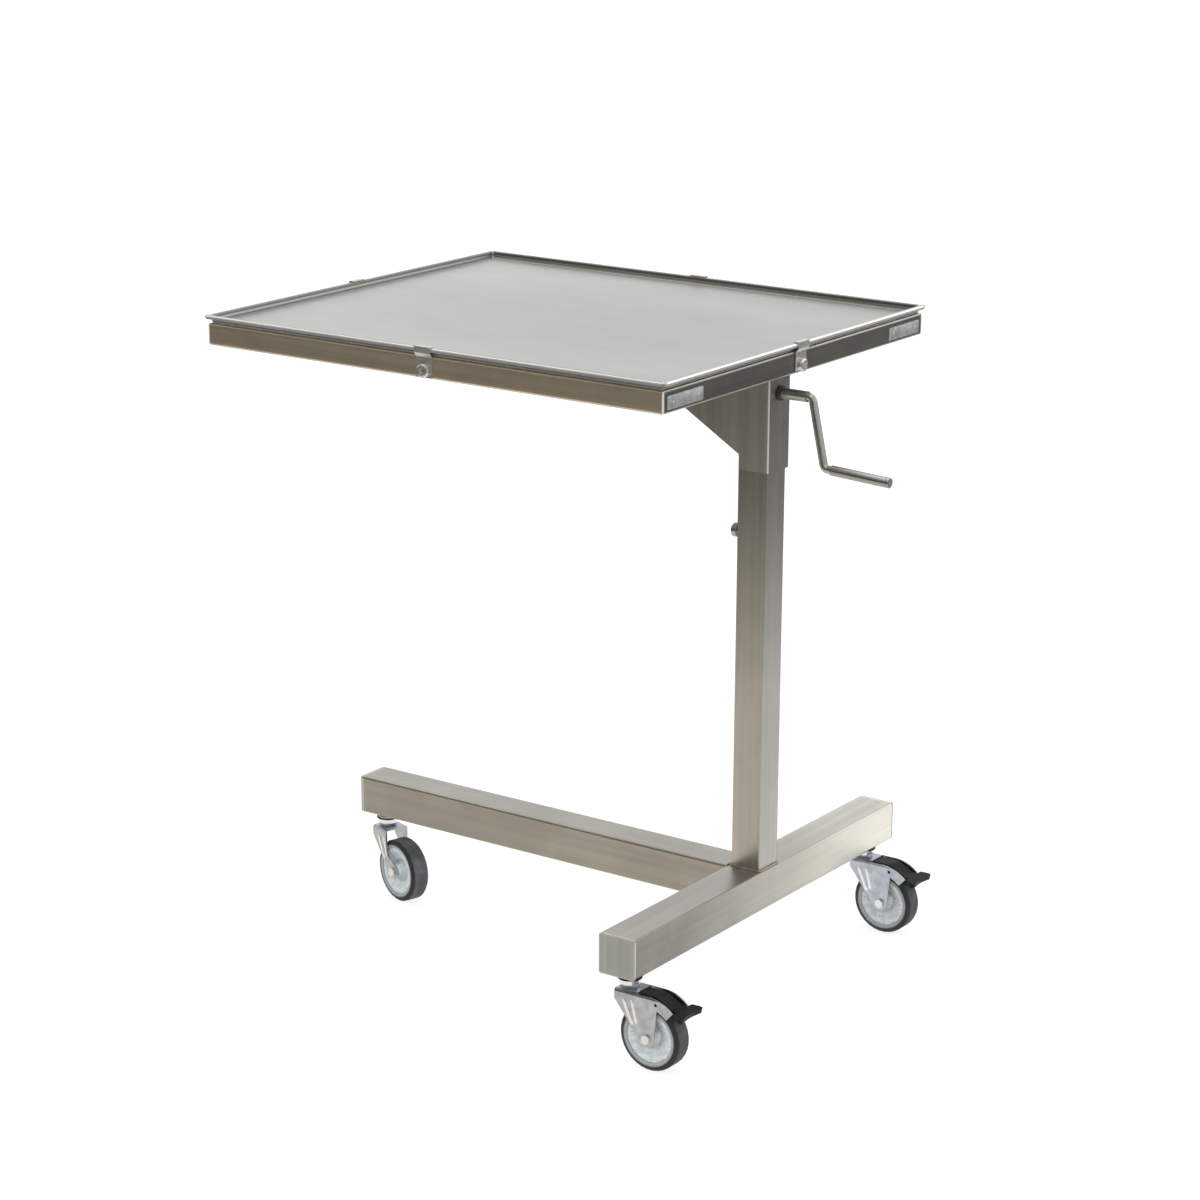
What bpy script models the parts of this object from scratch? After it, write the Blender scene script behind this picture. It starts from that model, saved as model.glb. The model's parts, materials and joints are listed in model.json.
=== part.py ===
"""Cantilever instrument stand on three castors, raised and lowered by a hand crank.

Metres, +Z up. X runs along the long leg with the crank at +X, and Y along the crossbar.
The origin lies on the floor under the middle of the bounding box, tray at its lowest setting.
Front is -Y, rear is +Y, left is -X and right is +X.
"""
import math

import bmesh
import bpy
from mathutils import Matrix, Vector

# Fits
SEAT_GAP = 0.0003        # between two pieces that touch or are welded
RUNNING_GAP = 0.0005     # all round a piece that turns or slides in another
MERGE_DISTANCE = 0.000001

# Tray and its frame
TRAY_LENGTH = 0.800      # over the apron, along X
TRAY_WIDTH = 0.690       # over the apron, along Y
APRON_HEIGHT = 0.033
RAIL_SHEET = 0.0015
RAIL_FLANGE = 0.014
RAIL_BEND = 0.003        # outside radius of the apron's bends
PANEL_SHEET = 0.0012
RIM_RISE = 0.0115        # from the apron's top to the top of the rim
RIM_INSET = 0.004        # from the apron's face to the foot of the rim
RIM_BATTER = 0.0015      # how far the rim leans out on its way up
LIP_OVERHANG = 0.005     # from the apron's face to the outside of the lip
LIP_DROP = 0.0052        # depth of the lip's turned-down edge
LIP_RADIUS = 0.002
PAN_CORNER = 0.003
TRAY_OVERHANG = 0.060    # from the column's axis to the apron at the crank side
RIB_WIDTH = 0.040
RIB_WALL = 0.0015
RIB_CORNER = 0.002
RIB_SPACING = 0.170      # between the two ribs over the head
OUTER_RIB_REACH = 0.560  # from the column's axis to the rib at the free end

# Tray clips
CLIP_WIDTH = 0.028
CLIP_SHEET = 0.0015
CLIP_HOOK = 0.007
CLIP_SCREW_RISE = 0.0118  # from the apron's lower edge
CLIP_SCREW_SHANK = 0.006
CLIP_KNOB = 0.020
CLIP_KNOB_HEIGHT = 0.006
CLIP_KNOB_CROWN = 0.0015
CLIP_SCREW_LENGTH = 0.009

# Head bracket that joins the lift to the tray frame
HEAD_SHEET = 0.003
HEAD_BEND = 0.004
HEAD_SKIRT = 0.146       # from the tray frame down to the bracket's lower edge
CHEEK_EASE = 0.004       # cheeks' lower part set back from the column's left face
GUSSET_DROP = 0.124
GUSSET_RUN = 0.207
HEAD_PLATE_SHEET = 0.005
HEAD_PLATE_WIDTH = 0.180
HEAD_PLATE_MARGIN = 0.042
HEAD_PLATE_CORNER = 0.010

# Column
COLUMN_SIZE = 0.050
COLUMN_WALL = 0.002
COLUMN_CORNER = 0.003
COLUMN_HEIGHT = 0.750    # from the base to the tray frame at the lowest setting
INNER_SIZE = 0.040
INNER_WALL = 0.002
INNER_CORNER = 0.003
INNER_STANDOFF = 0.030   # inner tube's lower end above the base at the lowest setting
LIFT_TRAVEL = 0.350
GLIDE_LENGTH = 0.060
GLIDE_FLANGE = 0.002
LOWER_GLIDE_LENGTH = 0.040
MOUTH_DROP = 0.019       # from the crank's axis to the mouth of the outer tube

# Locking knob on the column's left face, its tip in a slot of the inner tube
KNOB_DROP = 0.098        # below the head bracket's skirt
KNOB_SCREW = 0.010
KNOB_REACH = 0.0022      # into the slot, past the inner tube's outer face
KNOB_DIAMETER = 0.021
KNOB_LENGTH = 0.014
KNOB_EASE = 0.002
KNOB_COLLAR = 0.003      # length of the knob's neck
KNOB_BOSS_DIAMETER = 0.018
KNOB_BOSS_LENGTH = 0.006

# Lifting screw
SPINDLE_DIAMETER = 0.014
NUT_DIAMETER = 0.030
NUT_LENGTH = 0.025
NUT_RISE = 0.398         # from the base to the nut's lower face
NUT_TUBE_WALL = 0.0025
NUT_FOOT_SHEET = 0.004
SPINDLE_TAIL = 0.012     # what stays below the nut at full height
COLLAR_DIAMETER = 0.026
COLLAR_HEIGHT = 0.008
BEARING_SHEET = 0.008

# Mitre gears
GEAR_TEETH = 16
GEAR_MODULE = 0.0016
GEAR_FACE = 0.0052
GEAR_ADDENDUM = 0.8      # in modules
GEAR_DEDENDUM = 1.1      # in modules
GEAR_TOOTH_SHARE = 0.42  # of the pitch taken by a tooth at the pitch line
GEAR_FLANK = math.radians(20)
GEAR_HUB = 0.003
GEAR_HUB_DIAMETER = 0.020

# Crank
CRANK_DROP = 0.033       # axis below the tray frame
CRANK_BAR = 0.012
CRANK_REACH = 0.082     # from the column's axis to the first elbow
CRANK_ARM = 0.100        # drop of the arm
CRANK_LEAN = 0.022       # how far the arm leans out on its way down
CRANK_BEND = 0.0075      # centre-line radius of the elbows
GRIP_LENGTH = 0.091
GRIP_TILT = math.radians(3)
GRIP_NECK = 0.012        # bare bar between the second elbow and the grip
GRIP_WALL = 0.001
GRIP_CAP = 0.004
BUSH_WALL = 0.002
BUSH_FLANGE = 0.003
BUSH_FLANGE_DIAMETER = 0.022
CRANK_SLEEVE = 0.016     # diameter of the sleeve between bush and elbow

# Base
BASE_TUBE = 0.060
BASE_WALL = 0.002
BASE_CORNER = 0.003
BASE_END_SHEET = 0.003
CROSSBAR_LENGTH = 0.716
LEG_REACH = 0.725        # from the column's axis to the end of the leg

# Castors
CASTOR_HEIGHT = 0.138
CASTOR_INSET = 0.034     # from the crossbar's end to the castor's stem
LEG_CASTOR_INSET = 0.030
CASTOR_TRAIL = 0.043
LEG_CASTOR_TURN = math.radians(-17)
WHEEL_DIAMETER = 0.100
TYRE_WIDTH = 0.032
TYRE_TREAD = 0.023
TYRE_DEPTH = 0.0125
TYRE_BEAD = 0.029        # width at its seat and shoulders
TYRE_SHOULDER = 0.003    # how far the shoulders lie below the tread
HUB_DIAMETER = 0.022
HUB_WIDTH = 0.035
WEB_THICKNESS = 0.007
WEB_FILLET = 0.003
WHEEL_RIM_DEPTH = 0.005
WHEEL_RIM_WIDTH = 0.027
AXLE_DIAMETER = 0.008
AXLE_FLATS = 0.013
AXLE_HEAD = 0.004
FORK_SHEET = 0.0025
FORK_GAP = 0.037
FORK_BEND = 0.004
FORK_FRONT = 0.0125      # cheeks ahead of the stem
FORK_FRONT_DROP = 0.012  # straight front edge below the crown
CROWN_BACK = 0.024       # flat crown behind the stem
CROWN_FILLET = 0.012
WING_TOP = 0.014         # cheeks' upper edge outside the tyre
WING_LOW = 0.001         # cheeks' lower edge inside the tyre's tread
WING_END = math.radians(48)   # of the cheeks' wings, up from level at the axle
WING_ROOT = math.radians(70)  # where a wing's lower edge meets the leg of the cheek
PLAIN_CHEEK_DROP = 0.038  # straight rear edge of the cheeks without wings, below the crown
FORK_BOSS = 0.012        # round end of the cheeks about the axle
FORK_HOLE = 0.005
FORK_HOLE_TURN = math.radians(75)
CROWN_CLEARANCE = 0.012  # crown above the tyre
RACE_DIAMETER = 0.033
RACE_HEIGHT = 0.006
RACE_RIM = 0.004         # straight part of the race's edge
RACE_TOP_DIAMETER = 0.028
DOME_FLARE = 0.002       # swivel housing narrower at its foot
STEM_HEX = 0.024
STEM_HEX_HEIGHT = 0.005
STEM_THREAD = 0.012
KING_PIN = 0.010
KING_PIN_HEAD = 0.020
KING_PIN_HEAD_HEIGHT = 0.003
STEM_NUT = 0.019
STEM_NUT_HEIGHT = 0.010

# Brake pedals of the two crossbar castors
PEDAL_PIVOT_REACH = 0.045  # behind the stem
PEDAL_PIVOT_RISE = 0.009   # above the tyre
PEDAL_PIN = 0.006
PEDAL_ARM_WIDTH = 0.026
PEDAL_SHEET = 0.0045
PEDAL_CREST = 0.010      # flat of the arm behind the pivot
PEDAL_KNEE = 0.034       # where the arm meets the pad's slope, behind the pivot
PEDAL_KNEE_DROP = 0.011
PEDAL_BEND = 0.012
PEDAL_REACH = 0.098      # stem to the middle of the pad
PEDAL_PAD_DROP = 0.014   # pad below the pivot
PEDAL_PAD_WIDTH = 0.062
PEDAL_PAD_ROOT = 0.044   # width of the pad's inner edge
PEDAL_PAD_LENGTH = 0.018
PEDAL_PAD_NOTCH = 0.004  # hollow of the pad's outer edge
PEDAL_NOTCH_BEND = 0.062
PEDAL_PAD_CORNER = 0.004
PEDAL_PAD_THICKNESS = 0.007
PEDAL_PAD_TILT = math.radians(12)

# Facets
ROUND_STEPS = 24
SMALL_STEPS = 12
WHEEL_STEPS = 32
CORNER_STEPS = 2
BEND_STEPS = 4           # along an elbow of the crank
PIN_STEPS = 16
SMOOTH_ANGLE = math.radians(32)

# Finishes: colour, roughness, metallic
FINISHES = {
    "tray_steel": ((0.60, 0.60, 0.58), 0.38, 1.0),
    "frame_steel": ((0.38, 0.35, 0.31), 0.42, 1.0),
    "base_steel": ((0.52, 0.50, 0.45), 0.45, 1.0),
    "bright_steel": ((0.66, 0.66, 0.66), 0.28, 1.0),
    "zinc": ((0.70, 0.71, 0.73), 0.35, 1.0),
    "bronze": ((0.55, 0.38, 0.18), 0.40, 1.0),
    "gear_steel": ((0.35, 0.35, 0.36), 0.40, 1.0),
    "glide_plastic": ((0.80, 0.80, 0.78), 0.50, 0.0),
    "black_plastic": ((0.02, 0.02, 0.02), 0.45, 0.0),
    "wheel_plastic": ((0.55, 0.57, 0.60), 0.50, 0.0),
    "grey_rubber": ((0.12, 0.13, 0.14), 0.75, 0.0),
}

# Derived places
CLIP_REACH = CLIP_SHEET + 2 * SEAT_GAP + CLIP_KNOB_HEIGHT
LEFT_REACH = TRAY_LENGTH - TRAY_OVERHANG + CLIP_REACH
GRIP_RADIUS = CRANK_BAR / 2 + RUNNING_GAP + GRIP_WALL
HANDLE_LENGTH = GRIP_NECK + GRIP_LENGTH + 2 * SEAT_GAP + GRIP_CAP
RIGHT_REACH = (CRANK_REACH + CRANK_LEAN + HANDLE_LENGTH * math.cos(GRIP_TILT)
               + GRIP_RADIUS * math.sin(GRIP_TILT))
COLUMN_X = (LEFT_REACH - RIGHT_REACH) / 2
TRAY_X = COLUMN_X + TRAY_OVERHANG - TRAY_LENGTH / 2
LEG_END_X = COLUMN_X - LEG_REACH
BASE_TOP = CASTOR_HEIGHT + BASE_TUBE
TRAY_BOTTOM = BASE_TOP + COLUMN_HEIGHT
APRON_TOP = TRAY_BOTTOM + APRON_HEIGHT
CRANK_Z = TRAY_BOTTOM - CRANK_DROP
HEAD_INNER = COLUMN_SIZE / 2 + RUNNING_GAP
HEAD_OUTER = HEAD_INNER + HEAD_SHEET
COLUMN_MOUTH = CRANK_Z - MOUTH_DROP
RIB_BOTTOM = TRAY_BOTTOM + HEAD_PLATE_SHEET + SEAT_GAP
RIB_HEIGHT = APRON_TOP - RAIL_SHEET - SEAT_GAP - RIB_BOTTOM
KNOB_Z = TRAY_BOTTOM - HEAD_SKIRT - KNOB_DROP
NUT_BOTTOM = BASE_TOP + NUT_RISE
WHEEL_RADIUS = WHEEL_DIAMETER / 2
CROWN_BOTTOM = WHEEL_DIAMETER + CROWN_CLEARANCE
CROWN_TOP = CROWN_BOTTOM + FORK_SHEET
FORK_HALF_WIDTH = FORK_GAP / 2 + FORK_SHEET
RACE_BOTTOM = CASTOR_HEIGHT - SEAT_GAP - STEM_HEX_HEIGHT - RACE_HEIGHT
PITCH_RADIUS = GEAR_MODULE * GEAR_TEETH / 2
RIB_PLACES = (("right", 0), ("middle", -RIB_SPACING), ("left", -OUTER_RIB_REACH))


# Shapes in the plane

def arc(centre, radius, start, end, steps):
    """Points along an arc, both ends included."""
    angles = [start + (end - start) * i / steps for i in range(steps + 1)]
    return [(centre[0] + radius * math.cos(a), centre[1] + radius * math.sin(a)) for a in angles]


def rounded_rectangle(width, depth, radius, steps=CORNER_STEPS):
    """Outline about the origin with four round corners."""
    points = []
    for quarter, (sx, sy) in enumerate(((1, 1), (-1, 1), (-1, -1), (1, -1))):
        centre = (sx * (width / 2 - radius), sy * (depth / 2 - radius))
        start = quarter * math.pi / 2
        points += arc(centre, radius, start, start + math.pi / 2, steps)
    return points


def circle(radius, steps=ROUND_STEPS, phase=0.0):
    """Points of a regular polygon on a circle."""
    turns = [phase + 2 * math.pi * i / steps for i in range(steps)]
    return [(radius * math.cos(a), radius * math.sin(a)) for a in turns]


def hexagon(flats, steps=ROUND_STEPS):
    """Points along the edges of a hexagon, as many as a circle of the same steps."""
    points = []
    for i in range(steps):
        angle = 2 * math.pi * i / steps
        off_centre = (angle + math.pi / 6) % (math.pi / 3) - math.pi / 6
        radius = flats / 2 / math.cos(off_centre)
        points.append((radius * math.cos(angle), radius * math.sin(angle)))
    return points


def filleted(corners, steps=CORNER_STEPS):
    """Outline through corners given as (x, y, fillet radius)."""
    points = []
    for i, (x, y, radius) in enumerate(corners):
        here = Vector((x, y))
        if radius == 0:
            points.append((x, y))
            continue
        to_last = (Vector(corners[i - 1][:2]) - here).normalized()
        to_next = (Vector(corners[(i + 1) % len(corners)][:2]) - here).normalized()
        half = to_last.angle(to_next) / 2
        reach = radius / math.tan(half)
        centre = here + (to_last + to_next).normalized() * radius / math.sin(half)
        first = here + to_last * reach - centre
        last = here + to_next * reach - centre
        sweep = first.angle_signed(last)
        for k in range(steps + 1):
            spoke = Matrix.Rotation(-sweep * k / steps, 2) @ first
            points.append(tuple(centre + spoke))
    return points


def thickened(path, thickness):
    """Closed outline of a strip laid along an open path."""
    points = [Vector(p) for p in path]
    sides = ([], [])
    for i, here in enumerate(points):
        before = (here - points[i - 1]).normalized() if i else None
        after = (points[i + 1] - here).normalized() if i + 1 < len(points) else None
        along = [d for d in (before, after) if d is not None]
        mean = sum(along, Vector((0, 0))).normalized()
        normal = Vector((-mean.y, mean.x))
        stretch = thickness / 2 / mean.dot(along[0])
        sides[0].append(tuple(here + normal * stretch))
        sides[1].append(tuple(here - normal * stretch))
    return sides[0] + sides[1][::-1]


# Solids

def loft(rings, cyclic=False):
    """Skin over rings with equal numbers of points, capped unless cyclic."""
    bm = bmesh.new()
    loops = [[bm.verts.new(point) for point in ring] for ring in rings]
    count = len(rings[0])
    pairs = list(zip(loops, loops[1:] + loops[:1])) if cyclic else list(zip(loops, loops[1:]))
    for low, high in pairs:
        for i in range(count):
            k = (i + 1) % count
            bm.faces.new((low[i], low[k], high[k], high[i]))
    if not cyclic:
        bm.faces.new(loops[0])
        bm.faces.new(loops[-1])
    bmesh.ops.recalc_face_normals(bm, faces=bm.faces)
    return bm


def lifted(outline, z):
    """Plane outline as points at one height."""
    return [(x, y, z) for x, y in outline]


def prism(outline, low, high):
    """Outline in XY extruded from one height to another."""
    bm = bmesh.new()
    face = bm.faces.new([bm.verts.new((x, y, low)) for x, y in outline])
    grown = bmesh.ops.extrude_face_region(bm, geom=[face])["geom"]
    moved = [item for item in grown if isinstance(item, bmesh.types.BMVert)]
    bmesh.ops.translate(bm, verts=moved, vec=(0, 0, high - low))
    bmesh.ops.recalc_face_normals(bm, faces=bm.faces)
    return bm


def side_prism(outline, half_width):
    """Outline in XZ extruded along Y to both sides of the middle."""
    bm = prism(outline, -half_width, half_width)
    bmesh.ops.transform(bm, matrix=Matrix.Rotation(math.pi / 2, 4, "X"), verts=bm.verts)
    return bm


def tube(outer, inner, low, high):
    """Open-ended tube between two outlines with equal numbers of points."""
    return loft([lifted(outer, low), lifted(outer, high), lifted(inner, high), lifted(inner, low)], True)


def square_tube(size, wall, corner, length):
    """Square hollow section along Z from the origin."""
    outer = rounded_rectangle(size, size, corner)
    bore = size - 2 * wall
    inner = rounded_rectangle(bore, bore, max(corner - wall, wall / 4))
    return tube(outer, inner, 0, length)


def turned(sections):
    """Solid of round or hexagonal outlines stacked along Z: (outline, height) pairs."""
    return loft([lifted(outline, z) for outline, z in sections])


def spun(profile, steps):
    """Ring swept round Z from a closed profile of (radius, height) points."""
    bm = bmesh.new()
    verts = [bm.verts.new((r, 0, z)) for r, z in profile]
    edges = [bm.edges.new(pair) for pair in zip(verts, verts[1:] + verts[:1])]
    bmesh.ops.spin(bm, geom=verts + edges, cent=(0, 0, 0), axis=(0, 0, 1),
                   angle=2 * math.pi, steps=steps, use_merge=True)
    bmesh.ops.remove_doubles(bm, verts=bm.verts, dist=MERGE_DISTANCE)
    bmesh.ops.recalc_face_normals(bm, faces=bm.faces)
    return bm


def moved(bm, location=(0, 0, 0), rotation=None):
    """Geometry turned and shifted in its own frame."""
    matrix = Matrix.Translation(location)
    if rotation is not None:
        matrix = matrix @ rotation
    bmesh.ops.transform(bm, matrix=matrix, verts=bm.verts)
    return bm


ALONG_X = Matrix.Rotation(math.pi / 2, 4, "Y")
ALONG_MINUS_X = Matrix.Rotation(-math.pi / 2, 4, "Y")
ALONG_Y = Matrix.Rotation(-math.pi / 2, 4, "X")
ALONG_MINUS_Y = Matrix.Rotation(math.pi / 2, 4, "X")


# Objects

def finish(name, kind):
    """Principled material of one node."""
    colour, roughness, metallic = FINISHES[kind]
    material = bpy.data.materials.new(name)
    material.use_nodes = True
    shader = material.node_tree.nodes["Principled BSDF"]
    shader.inputs["Base Color"].default_value = (*colour, 1)
    shader.inputs["Roughness"].default_value = roughness
    shader.inputs["Metallic"].default_value = metallic
    return material


def add_object(name, bm, parent, location, rotation):
    """Object from geometry, placed under its parent."""
    mesh = bpy.data.meshes.new(name)
    bm.to_mesh(mesh)
    bm.free()
    obj = bpy.data.objects.new(name, mesh)
    bpy.context.collection.objects.link(obj)
    obj.parent = parent
    obj.location = location
    obj.rotation_euler = rotation
    return obj


def add_part(name, bm, kind, parent=None, location=(0, 0, 0), rotation=(0, 0, 0), smooth=False):
    """One node of the stand."""
    obj = add_object(name, bm, parent, location, rotation)
    obj.data.materials.append(finish(name, kind))
    if smooth:
        obj.data.shade_smooth()
        obj.data.set_sharp_from_angle(angle=SMOOTH_ANGLE)
    return obj


def shape_with(obj, label, bm, operation="DIFFERENCE"):
    """Boolean of a node with a hidden guide that moves with it."""
    guide = add_object(f"{label}_guide", bm, obj, (0, 0, 0), (0, 0, 0))
    guide.display_type = "WIRE"
    guide.hide_render = True
    boolean = obj.modifiers.new(label, "BOOLEAN")
    boolean.operation = operation
    boolean.solver = "EXACT"
    boolean.object = guide


def add_pivot(name, location, parent=None, turn=0.0):
    """Empty on a joint's axis."""
    empty = bpy.data.objects.new(name, None)
    bpy.context.collection.objects.link(empty)
    empty.parent = parent
    empty.location = location
    empty.rotation_euler = (0, 0, turn)
    return empty


def pin_cutter(diameter, low, high, steps=ROUND_STEPS):
    """Round cutter along Z."""
    return turned([(circle(diameter / 2, steps), low), (circle(diameter / 2, steps), high)])


# Base

def castor_places():
    """Name, place and turn of each castor."""
    side = CROSSBAR_LENGTH / 2 - CASTOR_INSET
    return (
        ("front", COLUMN_X, -side, 0.0),
        ("rear", COLUMN_X, side, 0.0),
        ("leg", LEG_END_X + LEG_CASTOR_INSET, 0.0, LEG_CASTOR_TURN),
    )


def base_section(length):
    """Base tube along Z from the origin."""
    return square_tube(BASE_TUBE, BASE_WALL, BASE_CORNER, length)


def drill_for_stem(obj, label, along):
    """Hole for a castor's stem in the lower wall of a base tube."""
    cutter = pin_cutter(STEM_THREAD + 2 * SEAT_GAP, -BASE_TUBE / 2 - BASE_WALL, 0)
    shape_with(obj, label, moved(cutter, along))


def make_base_tubes():
    """Crossbar under the column and the long leg that butts against it."""
    axis_z = CASTOR_HEIGHT + BASE_TUBE / 2
    inside = CROSSBAR_LENGTH - 2 * (BASE_END_SHEET + SEAT_GAP)
    crossbar_mesh = moved(base_section(inside), (0, -inside / 2, 0), ALONG_Y)
    crossbar = add_part("base_crossbar", crossbar_mesh, "base_steel", None, (COLUMN_X, 0, axis_z))
    side = CROSSBAR_LENGTH / 2 - CASTOR_INSET
    drill_for_stem(crossbar, "front_stem_hole", (0, -side, 0))
    drill_for_stem(crossbar, "rear_stem_hole", (0, side, 0))
    leg_length = LEG_REACH - BASE_TUBE / 2 - BASE_END_SHEET - 2 * SEAT_GAP
    leg_start = LEG_END_X + BASE_END_SHEET + SEAT_GAP
    leg_mesh = moved(base_section(leg_length), (0, 0, 0), ALONG_X)
    leg = add_part("base_leg", leg_mesh, "base_steel", None, (leg_start, 0, axis_z))
    drill_for_stem(leg, "leg_stem_hole", (LEG_CASTOR_INSET - BASE_END_SHEET - SEAT_GAP, 0, 0))


def make_end_plates():
    """Welded plates that close the base tubes."""
    outline = rounded_rectangle(BASE_TUBE, BASE_TUBE, BASE_CORNER)
    axis_z = CASTOR_HEIGHT + BASE_TUBE / 2
    half = CROSSBAR_LENGTH / 2
    places = (
        ("end_plate_front", (COLUMN_X, -half, axis_z), ALONG_Y),
        ("end_plate_rear", (COLUMN_X, half, axis_z), ALONG_MINUS_Y),
        ("end_plate_leg", (LEG_END_X, 0, axis_z), ALONG_X),
    )
    for name, place, facing in places:
        plate = moved(prism(outline, 0, BASE_END_SHEET), (0, 0, 0), facing)
        add_part(name, plate, "base_steel", None, place)


# Column

def make_outer_column():
    """Fixed outer tube with the locking screw's hole."""
    length = COLUMN_MOUTH - BASE_TOP - SEAT_GAP
    mesh = square_tube(COLUMN_SIZE, COLUMN_WALL, COLUMN_CORNER, length)
    start = BASE_TOP + SEAT_GAP
    column = add_part("column_outer", mesh, "base_steel", None, (COLUMN_X, 0, start))
    cutter = pin_cutter(KNOB_SCREW + 2 * RUNNING_GAP, -COLUMN_SIZE, -INNER_SIZE / 2)
    shape_with(column, "knob_screw_hole", moved(cutter, (0, 0, KNOB_Z - start), ALONG_X))


def make_upper_glide():
    """Plastic guide in the outer tube's mouth, with a flange over the edge."""
    bore = rounded_rectangle(*[INNER_SIZE + 2 * RUNNING_GAP] * 2, INNER_CORNER)
    body_size = COLUMN_SIZE - 2 * COLUMN_WALL - 2 * SEAT_GAP
    body = rounded_rectangle(body_size, body_size, COLUMN_CORNER - COLUMN_WALL)
    flange_size = COLUMN_SIZE - COLUMN_WALL
    flange = rounded_rectangle(flange_size, flange_size, COLUMN_CORNER)
    rings = [
        lifted(body, -GLIDE_LENGTH),
        lifted(body, SEAT_GAP),
        lifted(flange, SEAT_GAP),
        lifted(flange, SEAT_GAP + GLIDE_FLANGE),
        lifted(bore, SEAT_GAP + GLIDE_FLANGE),
        lifted(bore, -GLIDE_LENGTH),
    ]
    add_part("upper_glide", loft(rings, True), "glide_plastic", None, (COLUMN_X, 0, COLUMN_MOUTH))


def make_lock_knob():
    """Boss welded to the outer tube and the knob whose screw reaches the inner tube's slot."""
    face = COLUMN_X - COLUMN_SIZE / 2 - SEAT_GAP
    bore = circle(KNOB_SCREW / 2 + RUNNING_GAP, PIN_STEPS)
    boss = tube(circle(KNOB_BOSS_DIAMETER / 2, PIN_STEPS), bore, 0, KNOB_BOSS_LENGTH)
    place = (face, 0, KNOB_Z)
    add_part("lock_boss", moved(boss, (0, 0, 0), ALONG_MINUS_X), "bright_steel", None, place, smooth=True)
    reach = KNOB_BOSS_LENGTH + RUNNING_GAP + (COLUMN_SIZE - INNER_SIZE) / 2 + SEAT_GAP + KNOB_REACH
    screw = circle(KNOB_SCREW / 2, PIN_STEPS)
    neck = circle(KNOB_DIAMETER / 2 - KNOB_EASE, PIN_STEPS)
    grip = circle(KNOB_DIAMETER / 2, PIN_STEPS)
    knob = turned([
        (screw, -reach),
        (screw, 0),
        (neck, 0),
        (neck, KNOB_COLLAR),
        (grip, KNOB_COLLAR + KNOB_EASE),
        (grip, KNOB_LENGTH - KNOB_EASE),
        (neck, KNOB_LENGTH),
    ])
    place = (face - KNOB_BOSS_LENGTH - RUNNING_GAP, 0, KNOB_Z)
    add_part("lock_knob", moved(knob, (0, 0, 0), ALONG_MINUS_X), "bright_steel", None, place, smooth=True)


def make_nut_tube():
    """Pillar inside the column that carries the spindle nut."""
    inner = circle(SPINDLE_DIAMETER / 2 + 2 * RUNNING_GAP, PIN_STEPS)
    outer = circle(SPINDLE_DIAMETER / 2 + 2 * RUNNING_GAP + NUT_TUBE_WALL, PIN_STEPS)
    foot_size = COLUMN_SIZE - 2 * COLUMN_WALL - 2 * SEAT_GAP
    foot = circle(foot_size / 2, PIN_STEPS)
    foot_top = NUT_FOOT_SHEET
    height = NUT_RISE - 2 * SEAT_GAP
    rings = [lifted(foot, 0), lifted(foot, foot_top), lifted(outer, foot_top),
             lifted(outer, height), lifted(inner, height), lifted(inner, 0)]
    place = (COLUMN_X, 0, BASE_TOP + SEAT_GAP)
    add_part("nut_tube", loft(rings, True), "base_steel", None, place, smooth=True)


def make_spindle_nut():
    """Bronze nut on top of the pillar."""
    outer = circle(NUT_DIAMETER / 2, PIN_STEPS)
    bore = circle(SPINDLE_DIAMETER / 2 + SEAT_GAP, PIN_STEPS)
    mesh = tube(outer, bore, 0, NUT_LENGTH)
    add_part("spindle_nut", mesh, "bronze", None, (COLUMN_X, 0, NUT_BOTTOM), smooth=True)


def make_inner_column(lift):
    """Sliding tube with the knob's slot and the hole for the crank."""
    start = BASE_TOP + INNER_STANDOFF
    length = TRAY_BOTTOM - SEAT_GAP - start
    mesh = square_tube(INNER_SIZE, INNER_WALL, INNER_CORNER, length)
    column = add_part("column_inner", mesh, "base_steel", lift, (0, 0, start - TRAY_BOTTOM))
    half_slot = KNOB_SCREW / 2 + RUNNING_GAP
    top = KNOB_Z - start
    upper = arc((top, 0), half_slot, -math.pi / 2, math.pi / 2, SMALL_STEPS // 2)
    lower = arc((top - LIFT_TRAVEL, 0), half_slot, math.pi / 2, 3 * math.pi / 2, SMALL_STEPS // 2)
    slot = prism(upper + lower, 0, INNER_SIZE)
    shape_with(column, "knob_slot", moved(slot, (0, 0, 0), ALONG_MINUS_X))
    hole = pin_cutter(CRANK_BAR + 4 * RUNNING_GAP, 0, INNER_SIZE)
    shape_with(column, "crank_hole", moved(hole, (0, 0, CRANK_Z - start), ALONG_X))


def make_lower_glide(lift):
    """Plastic guide round the inner tube's lower end."""
    bore_size = INNER_SIZE + 2 * SEAT_GAP
    bore = rounded_rectangle(bore_size, bore_size, INNER_CORNER)
    outer_size = COLUMN_SIZE - 2 * COLUMN_WALL - 2 * RUNNING_GAP
    outer = rounded_rectangle(outer_size, outer_size, COLUMN_CORNER)
    mesh = tube(outer, bore, 0, LOWER_GLIDE_LENGTH)
    place = (0, 0, BASE_TOP + INNER_STANDOFF - TRAY_BOTTOM)
    add_part("lower_glide", mesh, "glide_plastic", lift, place)


# Head

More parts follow.
